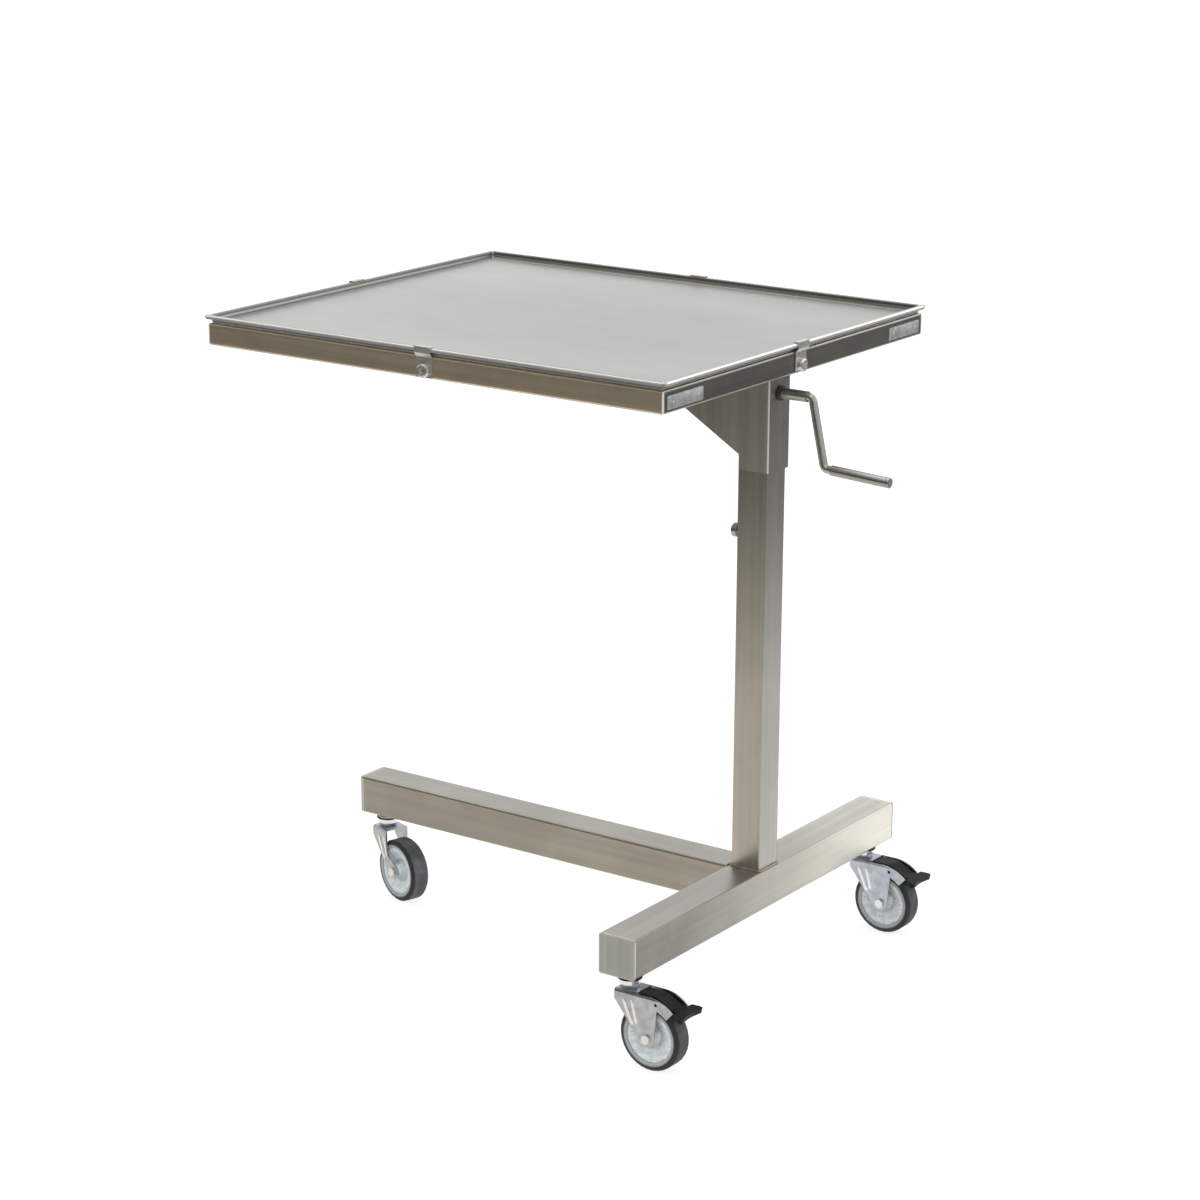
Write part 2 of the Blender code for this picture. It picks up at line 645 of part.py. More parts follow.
def make_head_bracket(lift):
    """Bent sheet round the column whose cheeks run out as gussets under the tray."""
    foot = CHEEK_EASE - HEAD_INNER
    left_end = foot - GUSSET_RUN
    outer = HEAD_OUTER
    inner = HEAD_INNER
    bend = HEAD_BEND
    inner_bend = HEAD_BEND - HEAD_SHEET
    outline = [(left_end, outer)]
    outline += arc((outer - bend, outer - bend), bend, math.pi / 2, 0, CORNER_STEPS)
    outline += arc((outer - bend, bend - outer), bend, 0, -math.pi / 2, CORNER_STEPS)
    outline += [(left_end, -outer), (left_end, -inner)]
    outline += arc((inner - inner_bend, inner_bend - inner), inner_bend, -math.pi / 2, 0, CORNER_STEPS)
    outline += arc((inner - inner_bend, inner - inner_bend), inner_bend, 0, math.pi / 2, CORNER_STEPS)
    outline += [(left_end, inner)]
    mesh = prism(outline, -HEAD_SKIRT, -SEAT_GAP)
    bracket = add_part("head_bracket", mesh, "frame_steel", lift)
    slope = GUSSET_DROP / GUSSET_RUN
    past = HEAD_SHEET
    below = -HEAD_SKIRT - past
    wedge = [
        (foot, below),
        (foot, -GUSSET_DROP),
        (left_end - past, past * slope),
        (left_end - past, below),
    ]
    shape_with(bracket, "gusset_edge", side_prism(wedge, 2 * outer))
    hole = pin_cutter(CRANK_BAR + 2 * (RUNNING_GAP + BUSH_WALL + SEAT_GAP), 0, 2 * outer)
    shape_with(bracket, "bush_hole", moved(hole, (0, 0, -CRANK_DROP), ALONG_X))


def make_head_back_plate(lift):
    """Plate between the cheeks that closes the box round the column."""
    half = HEAD_INNER - SEAT_GAP
    outline = [(-HEAD_OUTER, -half), (-HEAD_INNER, -half), (-HEAD_INNER, half), (-HEAD_OUTER, half)]
    edge = (GUSSET_RUN - CHEEK_EASE - HEAD_SHEET) * GUSSET_DROP / GUSSET_RUN
    mesh = prism(outline, -edge, -SEAT_GAP)
    add_part("head_back_plate", mesh, "frame_steel", lift)


def make_head_plate(lift):
    """Plate between the bracket and the ribs of the tray frame."""
    right = HEAD_OUTER
    left = -RIB_SPACING - RIB_WIDTH / 2 - HEAD_PLATE_MARGIN
    outline = rounded_rectangle(right - left, HEAD_PLATE_WIDTH, HEAD_PLATE_CORNER)
    centre = (left + right) / 2
    mesh = moved(prism(outline, 0, HEAD_PLATE_SHEET), (centre, 0, 0))
    add_part("head_plate", mesh, "frame_steel", lift)


# Tray

def tray_centre():
    """Middle of the tray on its lower edge, from the lift's pivot."""
    return TRAY_X - COLUMN_X


def rail_mesh(length):
    """Channel along X with mitred ends, its back on the line y = 0 and open towards +Y."""
    sheet = RAIL_SHEET
    bend = RAIL_BEND
    top = APRON_HEIGHT - bend
    section = arc((bend, bend), bend, math.pi, 3 * math.pi / 2, CORNER_STEPS)
    section += [(RAIL_FLANGE, 0), (RAIL_FLANGE, sheet)]
    section += arc((bend, bend), bend - sheet, 3 * math.pi / 2, math.pi, CORNER_STEPS)
    section += arc((bend, top), bend - sheet, math.pi, math.pi / 2, CORNER_STEPS)
    section += [(RAIL_FLANGE, APRON_HEIGHT - sheet), (RAIL_FLANGE, APRON_HEIGHT)]
    section += arc((bend, top), bend, math.pi / 2, math.pi, CORNER_STEPS)
    half = length / 2 - SEAT_GAP / 2
    rings = []
    for end in (-1, 1):
        rings.append([(end * (half - inward), inward, z) for inward, z in section])
    return loft(rings)


def side_places():
    """Name, middle of the apron, length of the side and turn that faces the side to -Y."""
    centre = tray_centre()
    half_length = TRAY_LENGTH / 2
    half_width = TRAY_WIDTH / 2
    return (
        ("front", (centre, -half_width, 0), TRAY_LENGTH, 0.0),
        ("right", (centre + half_length, 0, 0), TRAY_WIDTH, math.pi / 2),
        ("rear", (centre, half_width, 0), TRAY_LENGTH, math.pi),
        ("left", (centre - half_length, 0, 0), TRAY_WIDTH, -math.pi / 2),
    )


def make_rails(lift):
    """Four mitred channels that form the apron."""
    for name, place, length, turn in side_places():
        rail = add_part(f"rail_{name}", rail_mesh(length), "frame_steel", lift, place, (0, 0, turn))
        cutter = pin_cutter(CLIP_SCREW_SHANK + 2 * SEAT_GAP, -RAIL_FLANGE / 2, RAIL_FLANGE / 2, SMALL_STEPS)
        hole = moved(cutter, (0, 0, CLIP_SCREW_RISE), ALONG_Y)
        shape_with(rail, f"clip_hole_{name}", hole)


def make_ribs(lift):
    """Square ribs across the frame, the first two over the head plate."""
    length = TRAY_WIDTH - 2 * RAIL_BEND
    outer = rounded_rectangle(RIB_WIDTH, RIB_HEIGHT, RIB_CORNER)
    inner = rounded_rectangle(RIB_WIDTH - 2 * RIB_WALL, RIB_HEIGHT - 2 * RIB_WALL, RIB_CORNER - RIB_WALL)
    middle = RIB_BOTTOM + RIB_HEIGHT / 2 - TRAY_BOTTOM
    for name, x in RIB_PLACES:
        rib = moved(tube(outer, inner, -length / 2, length / 2), (0, 0, 0), ALONG_Y)
        add_part(f"frame_rib_{name}", rib, "frame_steel", lift, (x, 0, middle))


def pan_profile():
    """Sheet of the tray from the middle of its underside round the lip to the middle of its top.

    Each point is the distance in from the apron's face and the height over the apron's top.
    """
    sheet = PANEL_SHEET
    floor = SEAT_GAP
    top = RIM_RISE
    foot = RIM_INSET
    head = RIM_INSET - RIM_BATTER
    edge = -LIP_OVERHANG
    radius = LIP_RADIUS
    profile = [(foot, floor), (head, top - sheet), (edge + sheet, top - sheet)]
    profile += [(edge + sheet, top - LIP_DROP), (edge, top - LIP_DROP)]
    profile += arc((edge + radius, top - radius), radius, math.pi, math.pi / 2, CORNER_STEPS)
    profile += arc((head + sheet - radius, top - radius), radius, math.pi / 2, 0, CORNER_STEPS)
    profile += [(foot + sheet, floor + sheet + radius), (foot + sheet + radius, floor + sheet)]
    return profile


def make_tray_panel(lift):
    """Shallow pan whose rim turns over into a lip."""
    rings = []
    for inset, z in pan_profile():
        corner = max(PAN_CORNER - inset, PAN_CORNER / 2)
        outline = rounded_rectangle(TRAY_LENGTH - 2 * inset, TRAY_WIDTH - 2 * inset, corner)
        rings.append(lifted(outline, APRON_HEIGHT + z))
    add_part("tray_panel", loft(rings), "tray_steel", lift, (tray_centre(), 0, 0))


def clip_mesh():
    """Strap hooked over the lip and laid on the apron, its face towards -Y."""
    half = CLIP_SHEET / 2
    over = APRON_HEIGHT + RIM_RISE + SEAT_GAP + half
    outside = LIP_OVERHANG + SEAT_GAP + half
    below_lip = APRON_HEIGHT + RIM_RISE - LIP_DROP - SEAT_GAP - CLIP_SHEET
    on_apron = SEAT_GAP + half
    foot = CLIP_SCREW_RISE - CLIP_KNOB / 2
    path = [
        (LIP_OVERHANG - CLIP_HOOK, over), (outside, over), (outside, below_lip),
        (on_apron, APRON_HEIGHT - CLIP_SHEET), (on_apron, foot),
    ]
    outline = thickened(path, CLIP_SHEET)
    strap = side_prism(outline, CLIP_WIDTH / 2)
    return moved(strap, (0, 0, 0), Matrix.Rotation(-math.pi / 2, 4, "Z"))


def make_clips(lift):
    """A strap and its round-headed screw at the middle of each side."""
    for name, place, _, turn in side_places():
        clip = add_part(f"clip_{name}", clip_mesh(), "bright_steel", lift, place, (0, 0, turn))
        reach = LIP_OVERHANG + CLIP_SHEET
        cutter = pin_cutter(CLIP_SCREW_SHANK + 2 * SEAT_GAP, -reach, reach, SMALL_STEPS)
        shape_with(clip, f"strap_hole_{name}", moved(cutter, (0, 0, CLIP_SCREW_RISE), ALONG_Y))
        spin = Matrix.Rotation(turn, 4, "Z")
        seat = Vector(place) + spin @ Vector((0, -CLIP_SHEET - 2 * SEAT_GAP, CLIP_SCREW_RISE))
        screw = moved(clip_screw_mesh(), (0, 0, 0), ALONG_MINUS_Y)
        add_part(f"clip_screw_{name}", screw, "bright_steel", lift, seat, (0, 0, turn), smooth=True)


def clip_screw_mesh():
    """Knob with a crowned face along +Z and a shank below the origin."""
    knob = CLIP_KNOB / 2
    crown = CLIP_KNOB_CROWN
    shank = circle(CLIP_SCREW_SHANK / 2, PIN_STEPS)
    rim = circle(knob, PIN_STEPS)
    face = circle(knob - crown, PIN_STEPS)
    return turned([
        (shank, -CLIP_SCREW_LENGTH),
        (shank, 0),
        (rim, 0),
        (rim, CLIP_KNOB_HEIGHT - crown),
        (face, CLIP_KNOB_HEIGHT),
    ])


# Lifting screw and mitre gears

def tooth_outline(scale, at_tip_and_root):
    """Points round one end of a gear's teeth, scaled towards the cones' apex."""
    pitch = 2 * math.pi / GEAR_TEETH
    tooth = GEAR_TOOTH_SHARE * math.pi * GEAR_MODULE / 2
    add = GEAR_ADDENDUM * GEAR_MODULE
    ded = GEAR_DEDENDUM * GEAR_MODULE
    lean = 1 / math.sqrt(2)
    tip = (PITCH_RADIUS + add * lean, -PITCH_RADIUS + add * lean)
    root = (PITCH_RADIUS - ded * lean, -PITCH_RADIUS - ded * lean)
    tip_half = (tooth - add * math.tan(GEAR_FLANK)) / tip[0]
    root_half = (tooth + ded * math.tan(GEAR_FLANK)) / root[0]
    corners = ((root, -root_half), (tip, -tip_half), (tip, tip_half), (root, root_half))
    points = []
    for k in range(GEAR_TEETH):
        for (radius, z), off in corners:
            angle = at_tip_and_root + k * pitch + off
            points.append((scale * radius * math.cos(angle), scale * radius * math.sin(angle), scale * z))
    return points


def gear_mesh(bore, phase):
    """Mitre gear on the Z axis below its cone apex at the origin."""
    cone = PITCH_RADIUS * math.sqrt(2)
    shrink = (cone - GEAR_FACE) / cone
    steps = 4 * GEAR_TEETH
    back = -PITCH_RADIUS - GEAR_DEDENDUM * GEAR_MODULE
    foot = back - GEAR_HUB
    front = -(PITCH_RADIUS + GEAR_DEDENDUM * GEAR_MODULE / math.sqrt(2)) * shrink
    turn = phase - math.pi / GEAR_TEETH
    hub = circle(GEAR_HUB_DIAMETER / 2, steps, turn)
    hole = circle(bore / 2, steps, turn)
    rings = [
        lifted(hole, foot), lifted(hub, foot), lifted(hub, back),
        tooth_outline(1, phase), tooth_outline(shrink, phase), lifted(hole, front),
    ]
    return loft(rings, True)


def make_spindle(lift):
    """Lifting screw, its gear and its thrust collar, on one pivot."""
    pivot = add_pivot("spindle_pivot", (0, 0, -CRANK_DROP), lift)
    foot = -PITCH_RADIUS - GEAR_DEDENDUM * GEAR_MODULE - GEAR_HUB
    low = NUT_BOTTOM - LIFT_TRAVEL - SPINDLE_TAIL - CRANK_Z
    high = -PITCH_RADIUS + GEAR_MODULE
    core = circle(SPINDLE_DIAMETER / 2, PIN_STEPS)
    tip = circle(SPINDLE_DIAMETER / 2 - GEAR_MODULE, PIN_STEPS)
    screw = turned([(tip, low), (core, low + GEAR_MODULE), (core, high)])
    add_part("lift_spindle", screw, "bright_steel", pivot, smooth=True)
    gear = gear_mesh(SPINDLE_DIAMETER + 2 * SEAT_GAP, 0.0)
    add_part("spindle_gear", gear, "gear_steel", pivot)
    plate_top = foot - RUNNING_GAP
    collar_top = plate_top - BEARING_SHEET - RUNNING_GAP
    collar_bore = circle(SPINDLE_DIAMETER / 2 + SEAT_GAP, PIN_STEPS)
    collar = tube(circle(COLLAR_DIAMETER / 2, PIN_STEPS), collar_bore,
                  collar_top - COLLAR_HEIGHT, collar_top)
    add_part("spindle_collar", collar, "gear_steel", pivot, smooth=True)
    side = INNER_SIZE - 2 * INNER_WALL - 2 * SEAT_GAP
    outline = rounded_rectangle(side, side, INNER_CORNER - INNER_WALL)
    bore = circle(SPINDLE_DIAMETER / 2 + RUNNING_GAP, len(outline), math.pi / len(outline))
    plate = tube(outline, bore, plate_top - BEARING_SHEET, plate_top)
    add_part("spindle_bearing", plate, "bronze", lift, (0, 0, -CRANK_DROP))


# Crank

def crank_path():
    """Centre line of the crank bar from its inner end, in XZ from the gears' apex."""
    start = (PITCH_RADIUS - GEAR_MODULE, 0)
    elbow = (CRANK_REACH, 0)
    lower = (CRANK_REACH + CRANK_LEAN, -CRANK_ARM)
    length = GRIP_NECK + GRIP_LENGTH + SEAT_GAP
    end = (lower[0] + length * math.cos(GRIP_TILT), lower[1] - length * math.sin(GRIP_TILT))
    corners = [(*start, 0), (*elbow, CRANK_BEND), (*lower, CRANK_BEND), (*end, 0)]
    return filleted(corners, BEND_STEPS)


def swept_bar(path, radius):
    """Round bar along a path in XZ."""
    points = [Vector((x, 0, z)) for x, z in path]
    rings = []
    for i, here in enumerate(points):
        before = (here - points[i - 1]).normalized() if i else None
        after = (points[i + 1] - here).normalized() if i + 1 < len(points) else None
        along = [d for d in (before, after) if d is not None]
        mean = sum(along, Vector((0, 0, 0))).normalized()
        across = Vector((-mean.z, 0, mean.x)) / mean.dot(along[0])
        ring = [here + across * a + Vector((0, b, 0)) for a, b in circle(radius, SMALL_STEPS)]
        rings.append(ring)
    return loft(rings)


def make_crank(lift):
    """Bent bar with its gear, sleeve, turning grip and cap."""
    pivot = add_pivot("crank_pivot", (0, 0, -CRANK_DROP), lift)
    bar = swept_bar(crank_path(), CRANK_BAR / 2)
    add_part("crank_bar", bar, "bright_steel", pivot, smooth=True)
    half_tooth = math.pi / GEAR_TEETH
    gear = moved(gear_mesh(CRANK_BAR + 2 * SEAT_GAP, half_tooth), (0, 0, 0), ALONG_MINUS_X)
    add_part("crank_gear", gear, "gear_steel", pivot)
    start = HEAD_OUTER + SEAT_GAP + BUSH_FLANGE + RUNNING_GAP
    bore = circle(CRANK_BAR / 2 + SEAT_GAP, PIN_STEPS)
    sleeve = tube(circle(CRANK_SLEEVE / 2, PIN_STEPS), bore, start, CRANK_REACH - CRANK_BEND)
    add_part("crank_sleeve", moved(sleeve, (0, 0, 0), ALONG_X), "bright_steel", pivot, smooth=True)
    make_grip(pivot)


def make_grip(crank):
    """Sleeve that turns on the lower end of the bar, kept on by a cap."""
    place = (CRANK_REACH + CRANK_LEAN, 0, -CRANK_ARM)
    grip = add_pivot("grip_pivot", place, crank)
    grip.rotation_euler = (0, math.pi / 2 + GRIP_TILT, 0)
    outer = circle(GRIP_RADIUS)
    eased = circle(GRIP_RADIUS - GRIP_WALL / 2)
    bore = circle(CRANK_BAR / 2 + RUNNING_GAP)
    low = GRIP_NECK
    high = low + GRIP_LENGTH
    ease = GRIP_WALL / 2
    rings = [lifted(bore, low), lifted(eased, low), lifted(outer, low + ease),
             lifted(outer, high - ease), lifted(eased, high), lifted(bore, high)]
    add_part("crank_grip", loft(rings, True), "bright_steel", grip, smooth=True)
    cap_low = high + 2 * SEAT_GAP
    cap = turned([(outer, cap_low), (outer, cap_low + GRIP_CAP - ease), (eased, cap_low + GRIP_CAP)])
    add_part("grip_cap", cap, "bright_steel", grip, smooth=True)


def make_crank_bush(lift):
    """Flanged bush for the crank in the bracket's right face."""
    bore = circle(CRANK_BAR / 2 + RUNNING_GAP, PIN_STEPS)
    body = circle(CRANK_BAR / 2 + RUNNING_GAP + BUSH_WALL, PIN_STEPS)
    flange = circle(BUSH_FLANGE_DIAMETER / 2, PIN_STEPS)
    inner_end = HEAD_INNER - HEAD_SHEET
    seat = HEAD_OUTER + SEAT_GAP
    rings = [lifted(bore, inner_end), lifted(body, inner_end), lifted(body, seat),
             lifted(flange, seat), lifted(flange, seat + BUSH_FLANGE), lifted(bore, seat + BUSH_FLANGE)]
    mesh = moved(loft(rings, True), (0, 0, 0), ALONG_X)
    add_part("crank_bush", mesh, "black_plastic", lift, (0, 0, -CRANK_DROP), smooth=True)


# Castors

def make_castor_stem(name, x, y):
    """Threaded stem with its nut in the tube, hex, upper race and king pin."""
    race = RACE_DIAMETER / 2
    pin_low = CROWN_BOTTOM - RUNNING_GAP
    sections = [
        (circle(KING_PIN_HEAD / 2), pin_low - KING_PIN_HEAD_HEIGHT),
        (circle(KING_PIN_HEAD / 2), pin_low),
        (circle(KING_PIN / 2), pin_low),
        (circle(KING_PIN / 2), RACE_BOTTOM),
        (circle(race), RACE_BOTTOM),
        (circle(race), RACE_BOTTOM + RACE_RIM),
        (circle(RACE_TOP_DIAMETER / 2), RACE_BOTTOM + RACE_HEIGHT),
        (hexagon(STEM_HEX), RACE_BOTTOM + RACE_HEIGHT),
        (hexagon(STEM_HEX), CASTOR_HEIGHT - SEAT_GAP),
        (circle(STEM_THREAD / 2), CASTOR_HEIGHT - SEAT_GAP),
        (circle(STEM_THREAD / 2), CASTOR_HEIGHT + BASE_WALL + SEAT_GAP),
        (hexagon(STEM_NUT), CASTOR_HEIGHT + BASE_WALL + SEAT_GAP),
        (hexagon(STEM_NUT), CASTOR_HEIGHT + BASE_WALL + SEAT_GAP + STEM_NUT_HEIGHT),
    ]
    add_part(f"castor_stem_{name}", turned(sections), "zinc", None, (x, y, 0), smooth=True)


def yoke_mesh():
    """Pressed channel, open below, that runs along the castor."""
    half = FORK_HALF_WIDTH
    gap = FORK_GAP / 2
    bend = FORK_BEND
    inner_bend = FORK_BEND - FORK_SHEET
    foot = 0
    outline = [(-half, foot)]
    outline += arc((bend - half, CROWN_TOP - bend), bend, math.pi, math.pi / 2, CORNER_STEPS)
    outline += arc((half - bend, CROWN_TOP - bend), bend, math.pi / 2, 0, CORNER_STEPS)
    outline += [(half, foot), (gap, foot)]
    inside = gap - inner_bend
    under = CROWN_BOTTOM - inner_bend
    outline += arc((inside, under), inner_bend, 0, math.pi / 2, CORNER_STEPS)
    outline += arc((-inside, under), inner_bend, math.pi / 2, math.pi, CORNER_STEPS)
    outline += [(-gap, foot)]
    bm = prism(outline, -FORK_FRONT - FORK_SHEET, CASTOR_TRAIL + WHEEL_RADIUS + WING_TOP)
    turn = Matrix(((0, 0, 1, 0), (1, 0, 0, 0), (0, 1, 0, 0), (0, 0, 0, 1)))
    bmesh.ops.transform(bm, matrix=turn, verts=bm.verts)
    return bm


def tangent_angle(point, centre, radius, side):
    """Angle at which a line from a point touches a circle, on the given side."""
    across = Vector(point) - Vector(centre)
    return math.atan2(across.y, across.x) + side * math.acos(radius / across.length)


def wing_radii():
    """Upper and lower edge of the cheeks' wings and the middle between them, from the axle."""
    outer = WHEEL_RADIUS + WING_TOP
    inner = WHEEL_RADIUS - WING_LOW
    return outer, inner, (outer + inner) / 2


def plain_side():
    """Side outline of the cheeks of the castor without a brake: a straight rear edge, no wings."""
    top = CROWN_TOP + FORK_SHEET
    front = (-FORK_FRONT, CROWN_BOTTOM - FORK_FRONT_DROP)
    rear = (CROWN_BACK, CROWN_BOTTOM - PLAIN_CHEEK_DROP)
    axle = (CASTOR_TRAIL, WHEEL_RADIUS)
    start = tangent_angle(rear, axle, FORK_BOSS, -1)
    end = tangent_angle(front, axle, FORK_BOSS, 1) - 2 * math.pi
    crown = [front, (-FORK_FRONT, top), (CROWN_BACK, top), rear]
    return crown + arc(axle, FORK_BOSS, start, end, SMALL_STEPS // 2)


def winged_side():
    """Side outline of the cheeks: crown in front, wings over the tyre, round end at the axle."""
    top = CROWN_TOP + FORK_SHEET
    front = (-FORK_FRONT, CROWN_BOTTOM - FORK_FRONT_DROP)
    axle = (CASTOR_TRAIL, WHEEL_RADIUS)
    outer, inner, _ = wing_radii()
    upper = arc(axle, outer, math.pi / 2, WING_END, SMALL_STEPS // 2)
    lower = arc(axle, inner, WING_END, WING_ROOT, CORNER_STEPS)
    crown = filleted([(*front, 0), (-FORK_FRONT, top, 0), (CROWN_BACK, top, CROWN_FILLET), (*upper[0], 0)])
    start = tangent_angle(lower[-1], axle, FORK_BOSS, -1)
    end = tangent_angle(front, axle, FORK_BOSS, 1) - 2 * math.pi
    return crown + upper[1:] + lower + arc(axle, FORK_BOSS, start, end, SMALL_STEPS // 2)


def cut_for_brake(fork, name):
    """Slot for the pedal behind the crown, and the small hole in each wing."""
    slot_low = CROWN_BOTTOM - FORK_BEND
    slot_back = CASTOR_TRAIL + WHEEL_DIAMETER
    slot_top = CROWN_TOP + FORK_SHEET
    slot = [(CROWN_BACK, slot_low), (slot_back, slot_low), (slot_back, slot_top), (CROWN_BACK, slot_top)]
    shape_with(fork, f"pedal_slot_{name}", side_prism(slot, FORK_GAP / 2))
    reach = FORK_HALF_WIDTH + FORK_SHEET
    middle = wing_radii()[2]
    hole_x = CASTOR_TRAIL + middle * math.cos(FORK_HOLE_TURN)
    hole_z = WHEEL_RADIUS + middle * math.sin(FORK_HOLE_TURN)
    hole = moved(pin_cutter(FORK_HOLE, -reach, reach, SMALL_STEPS), (hole_x, 0, hole_z), ALONG_Y)
    shape_with(fork, f"wing_hole_{name}", hole)


def make_fork(name, pivot):
    """Pressed fork with a domed swivel housing, winged where it carries a brake."""
    braked = name != "leg"
    outline = winged_side() if braked else plain_side()
    fork = add_part(f"castor_fork_{name}", yoke_mesh(), "zinc", pivot)
    shape_with(fork, f"fork_side_{name}", side_prism(outline, FORK_HALF_WIDTH + FORK_SHEET), "INTERSECT")
    race = RACE_DIAMETER / 2 - FORK_SHEET / 2
    dome_low = CROWN_TOP - FORK_SHEET / 2
    dome_top = RACE_BOTTOM - RUNNING_GAP
    dome = turned([
        (circle(race - DOME_FLARE), dome_low),
        (circle(race), dome_low + (dome_top - dome_low) / 2),
        (circle(race), dome_top),
    ])
    shape_with(fork, f"swivel_dome_{name}", dome, "UNION")
    bore = pin_cutter(KING_PIN + 2 * RUNNING_GAP, WHEEL_DIAMETER, CASTOR_HEIGHT)
    shape_with(fork, f"king_pin_bore_{name}", bore)
    reach = FORK_HALF_WIDTH + FORK_SHEET
    axle_hole = pin_cutter(AXLE_DIAMETER + 2 * SEAT_GAP, -reach, reach, SMALL_STEPS)
    shape_with(fork, f"axle_hole_{name}", moved(axle_hole, (CASTOR_TRAIL, 0, WHEEL_RADIUS), ALONG_Y))
    if braked:
        cut_for_brake(fork, name)


def make_axle(name, pivot):
    """Bolt and nut through the fork's cheeks."""
    seat = FORK_HALF_WIDTH + SEAT_GAP
    sections = [
        (hexagon(AXLE_FLATS, SMALL_STEPS), -seat - AXLE_HEAD),
        (hexagon(AXLE_FLATS, SMALL_STEPS), -seat),
        (circle(AXLE_DIAMETER / 2, SMALL_STEPS), -seat),
        (circle(AXLE_DIAMETER / 2, SMALL_STEPS), seat),
        (hexagon(AXLE_FLATS, SMALL_STEPS), seat),
        (hexagon(AXLE_FLATS, SMALL_STEPS), seat + AXLE_HEAD),
    ]
    mesh = moved(turned(sections), (0, 0, 0), ALONG_Y)
    place = (CASTOR_TRAIL, 0, WHEEL_RADIUS)
    add_part(f"castor_axle_{name}", mesh, "zinc", pivot, place)


def tyre_mesh():
    """Rubber ring with a flat tread and eased shoulders, one facet flat on the floor."""
    half = TYRE_WIDTH / 2
    tread = TYRE_TREAD / 2
    seat = WHEEL_RADIUS - TYRE_DEPTH
    crest = WHEEL_RADIUS / math.cos(math.pi / WHEEL_STEPS)
    shoulder = crest - TYRE_SHOULDER
    flank = WHEEL_RADIUS - TYRE_DEPTH / 2
    bead = TYRE_BEAD / 2
    profile = [
        (seat, -bead), (flank, -half), (shoulder, -bead), (crest, -tread),
        (crest, tread), (shoulder, bead), (flank, half), (seat, bead),
    ]
    half_step = Matrix.Rotation(math.pi / WHEEL_STEPS, 4, "Z")
    return moved(spun(profile, WHEEL_STEPS), (0, 0, 0), ALONG_Y @ half_step)


def wheel_centre_mesh():
    """Moulded centre: hub, dished web and rim."""
    bore = AXLE_DIAMETER / 2 + RUNNING_GAP
    hub = HUB_DIAMETER / 2
    hub_half = HUB_WIDTH / 2
    web = WEB_THICKNESS / 2
    rim = WHEEL_RADIUS - TYRE_DEPTH - SEAT_GAP
    rim_in = rim - WHEEL_RIM_DEPTH
    rim_half = WHEEL_RIM_WIDTH / 2
    side = [(bore, hub_half), (hub, hub_half), (hub, web + WEB_FILLET), (hub + WEB_FILLET, web),
            (rim_in, rim_half), (rim, rim_half)]
    profile = side + [(r, -z) for r, z in reversed(side)]
    half_step = Matrix.Rotation(math.pi / WHEEL_STEPS, 4, "Z")
    return moved(spun(profile, WHEEL_STEPS), (0, 0, 0), ALONG_Y @ half_step)


def pedal_mesh():
    """Arm of the brake pedal from its tail over the tyre to the pad, from its pivot."""
    rise = PEDAL_SHEET / 2
    tail = CROWN_BACK - PEDAL_PIVOT_REACH + RUNNING_GAP
    path = filleted([
        (tail, rise, 0),
        (PEDAL_CREST, rise, PEDAL_BEND),
        (PEDAL_KNEE, -PEDAL_KNEE_DROP, PEDAL_BEND),
        (PEDAL_REACH - PEDAL_PIVOT_REACH, -PEDAL_PAD_DROP, 0),
    ])
    return side_prism(thickened(path, PEDAL_SHEET), PEDAL_ARM_WIDTH / 2)


def pedal_pad_mesh():
    """Flared pad with a hollow outer edge, its middle at the origin."""
    half = PEDAL_PAD_LENGTH / 2
    root = PEDAL_PAD_ROOT / 2
    wide = PEDAL_PAD_WIDTH / 2
    corner = PEDAL_PAD_CORNER
    outline = filleted([
        (-half, root, corner), (-half, -root, corner), (half, -wide, corner),
        (half - PEDAL_PAD_NOTCH, 0, PEDAL_NOTCH_BEND), (half, wide, corner),
    ])
    return prism(outline, -PEDAL_PAD_THICKNESS / 2, PEDAL_PAD_THICKNESS / 2)


def make_pedal(name, swivel):
    """Brake pedal that rocks on a pin between the fork's cheeks."""
    place = (PEDAL_PIVOT_REACH, 0, WHEEL_DIAMETER + PEDAL_PIVOT_RISE)
    pedal = add_part(f"brake_pedal_{name}", pedal_mesh(), "black_plastic", swivel, place)
    seat = (PEDAL_REACH - PEDAL_PIVOT_REACH, 0, -PEDAL_PAD_DROP)
    pad = moved(pedal_pad_mesh(), seat, Matrix.Rotation(PEDAL_PAD_TILT, 4, "Y"))
    shape_with(pedal, f"pedal_pad_{name}", pad, "UNION")
    reach = FORK_GAP / 2 - SEAT_GAP
    pin = moved(pin_cutter(PEDAL_PIN, -reach, reach, SMALL_STEPS), (0, 0, 0), ALONG_Y)
    shape_with(pedal, f"pedal_pin_{name}", pin, "UNION")


def make_castors():
    """Three swivelling castors, the two on the crossbar with brakes."""
    for name, x, y, turn in castor_places():
        make_castor_stem(name, x, y)
        swivel = add_pivot(f"swivel_{name}", (x, y, 0), turn=turn)
        make_fork(name, swivel)
        make_axle(name, swivel)
        wheel = add_pivot(f"wheel_{name}", (CASTOR_TRAIL, 0, WHEEL_RADIUS), swivel)
        add_part(f"tyre_{name}", tyre_mesh(), "grey_rubber", wheel, smooth=True)
        add_part(f"wheel_centre_{name}", wheel_centre_mesh(), "wheel_plastic", wheel, smooth=True)
        if name != "leg":
            make_pedal(name, swivel)


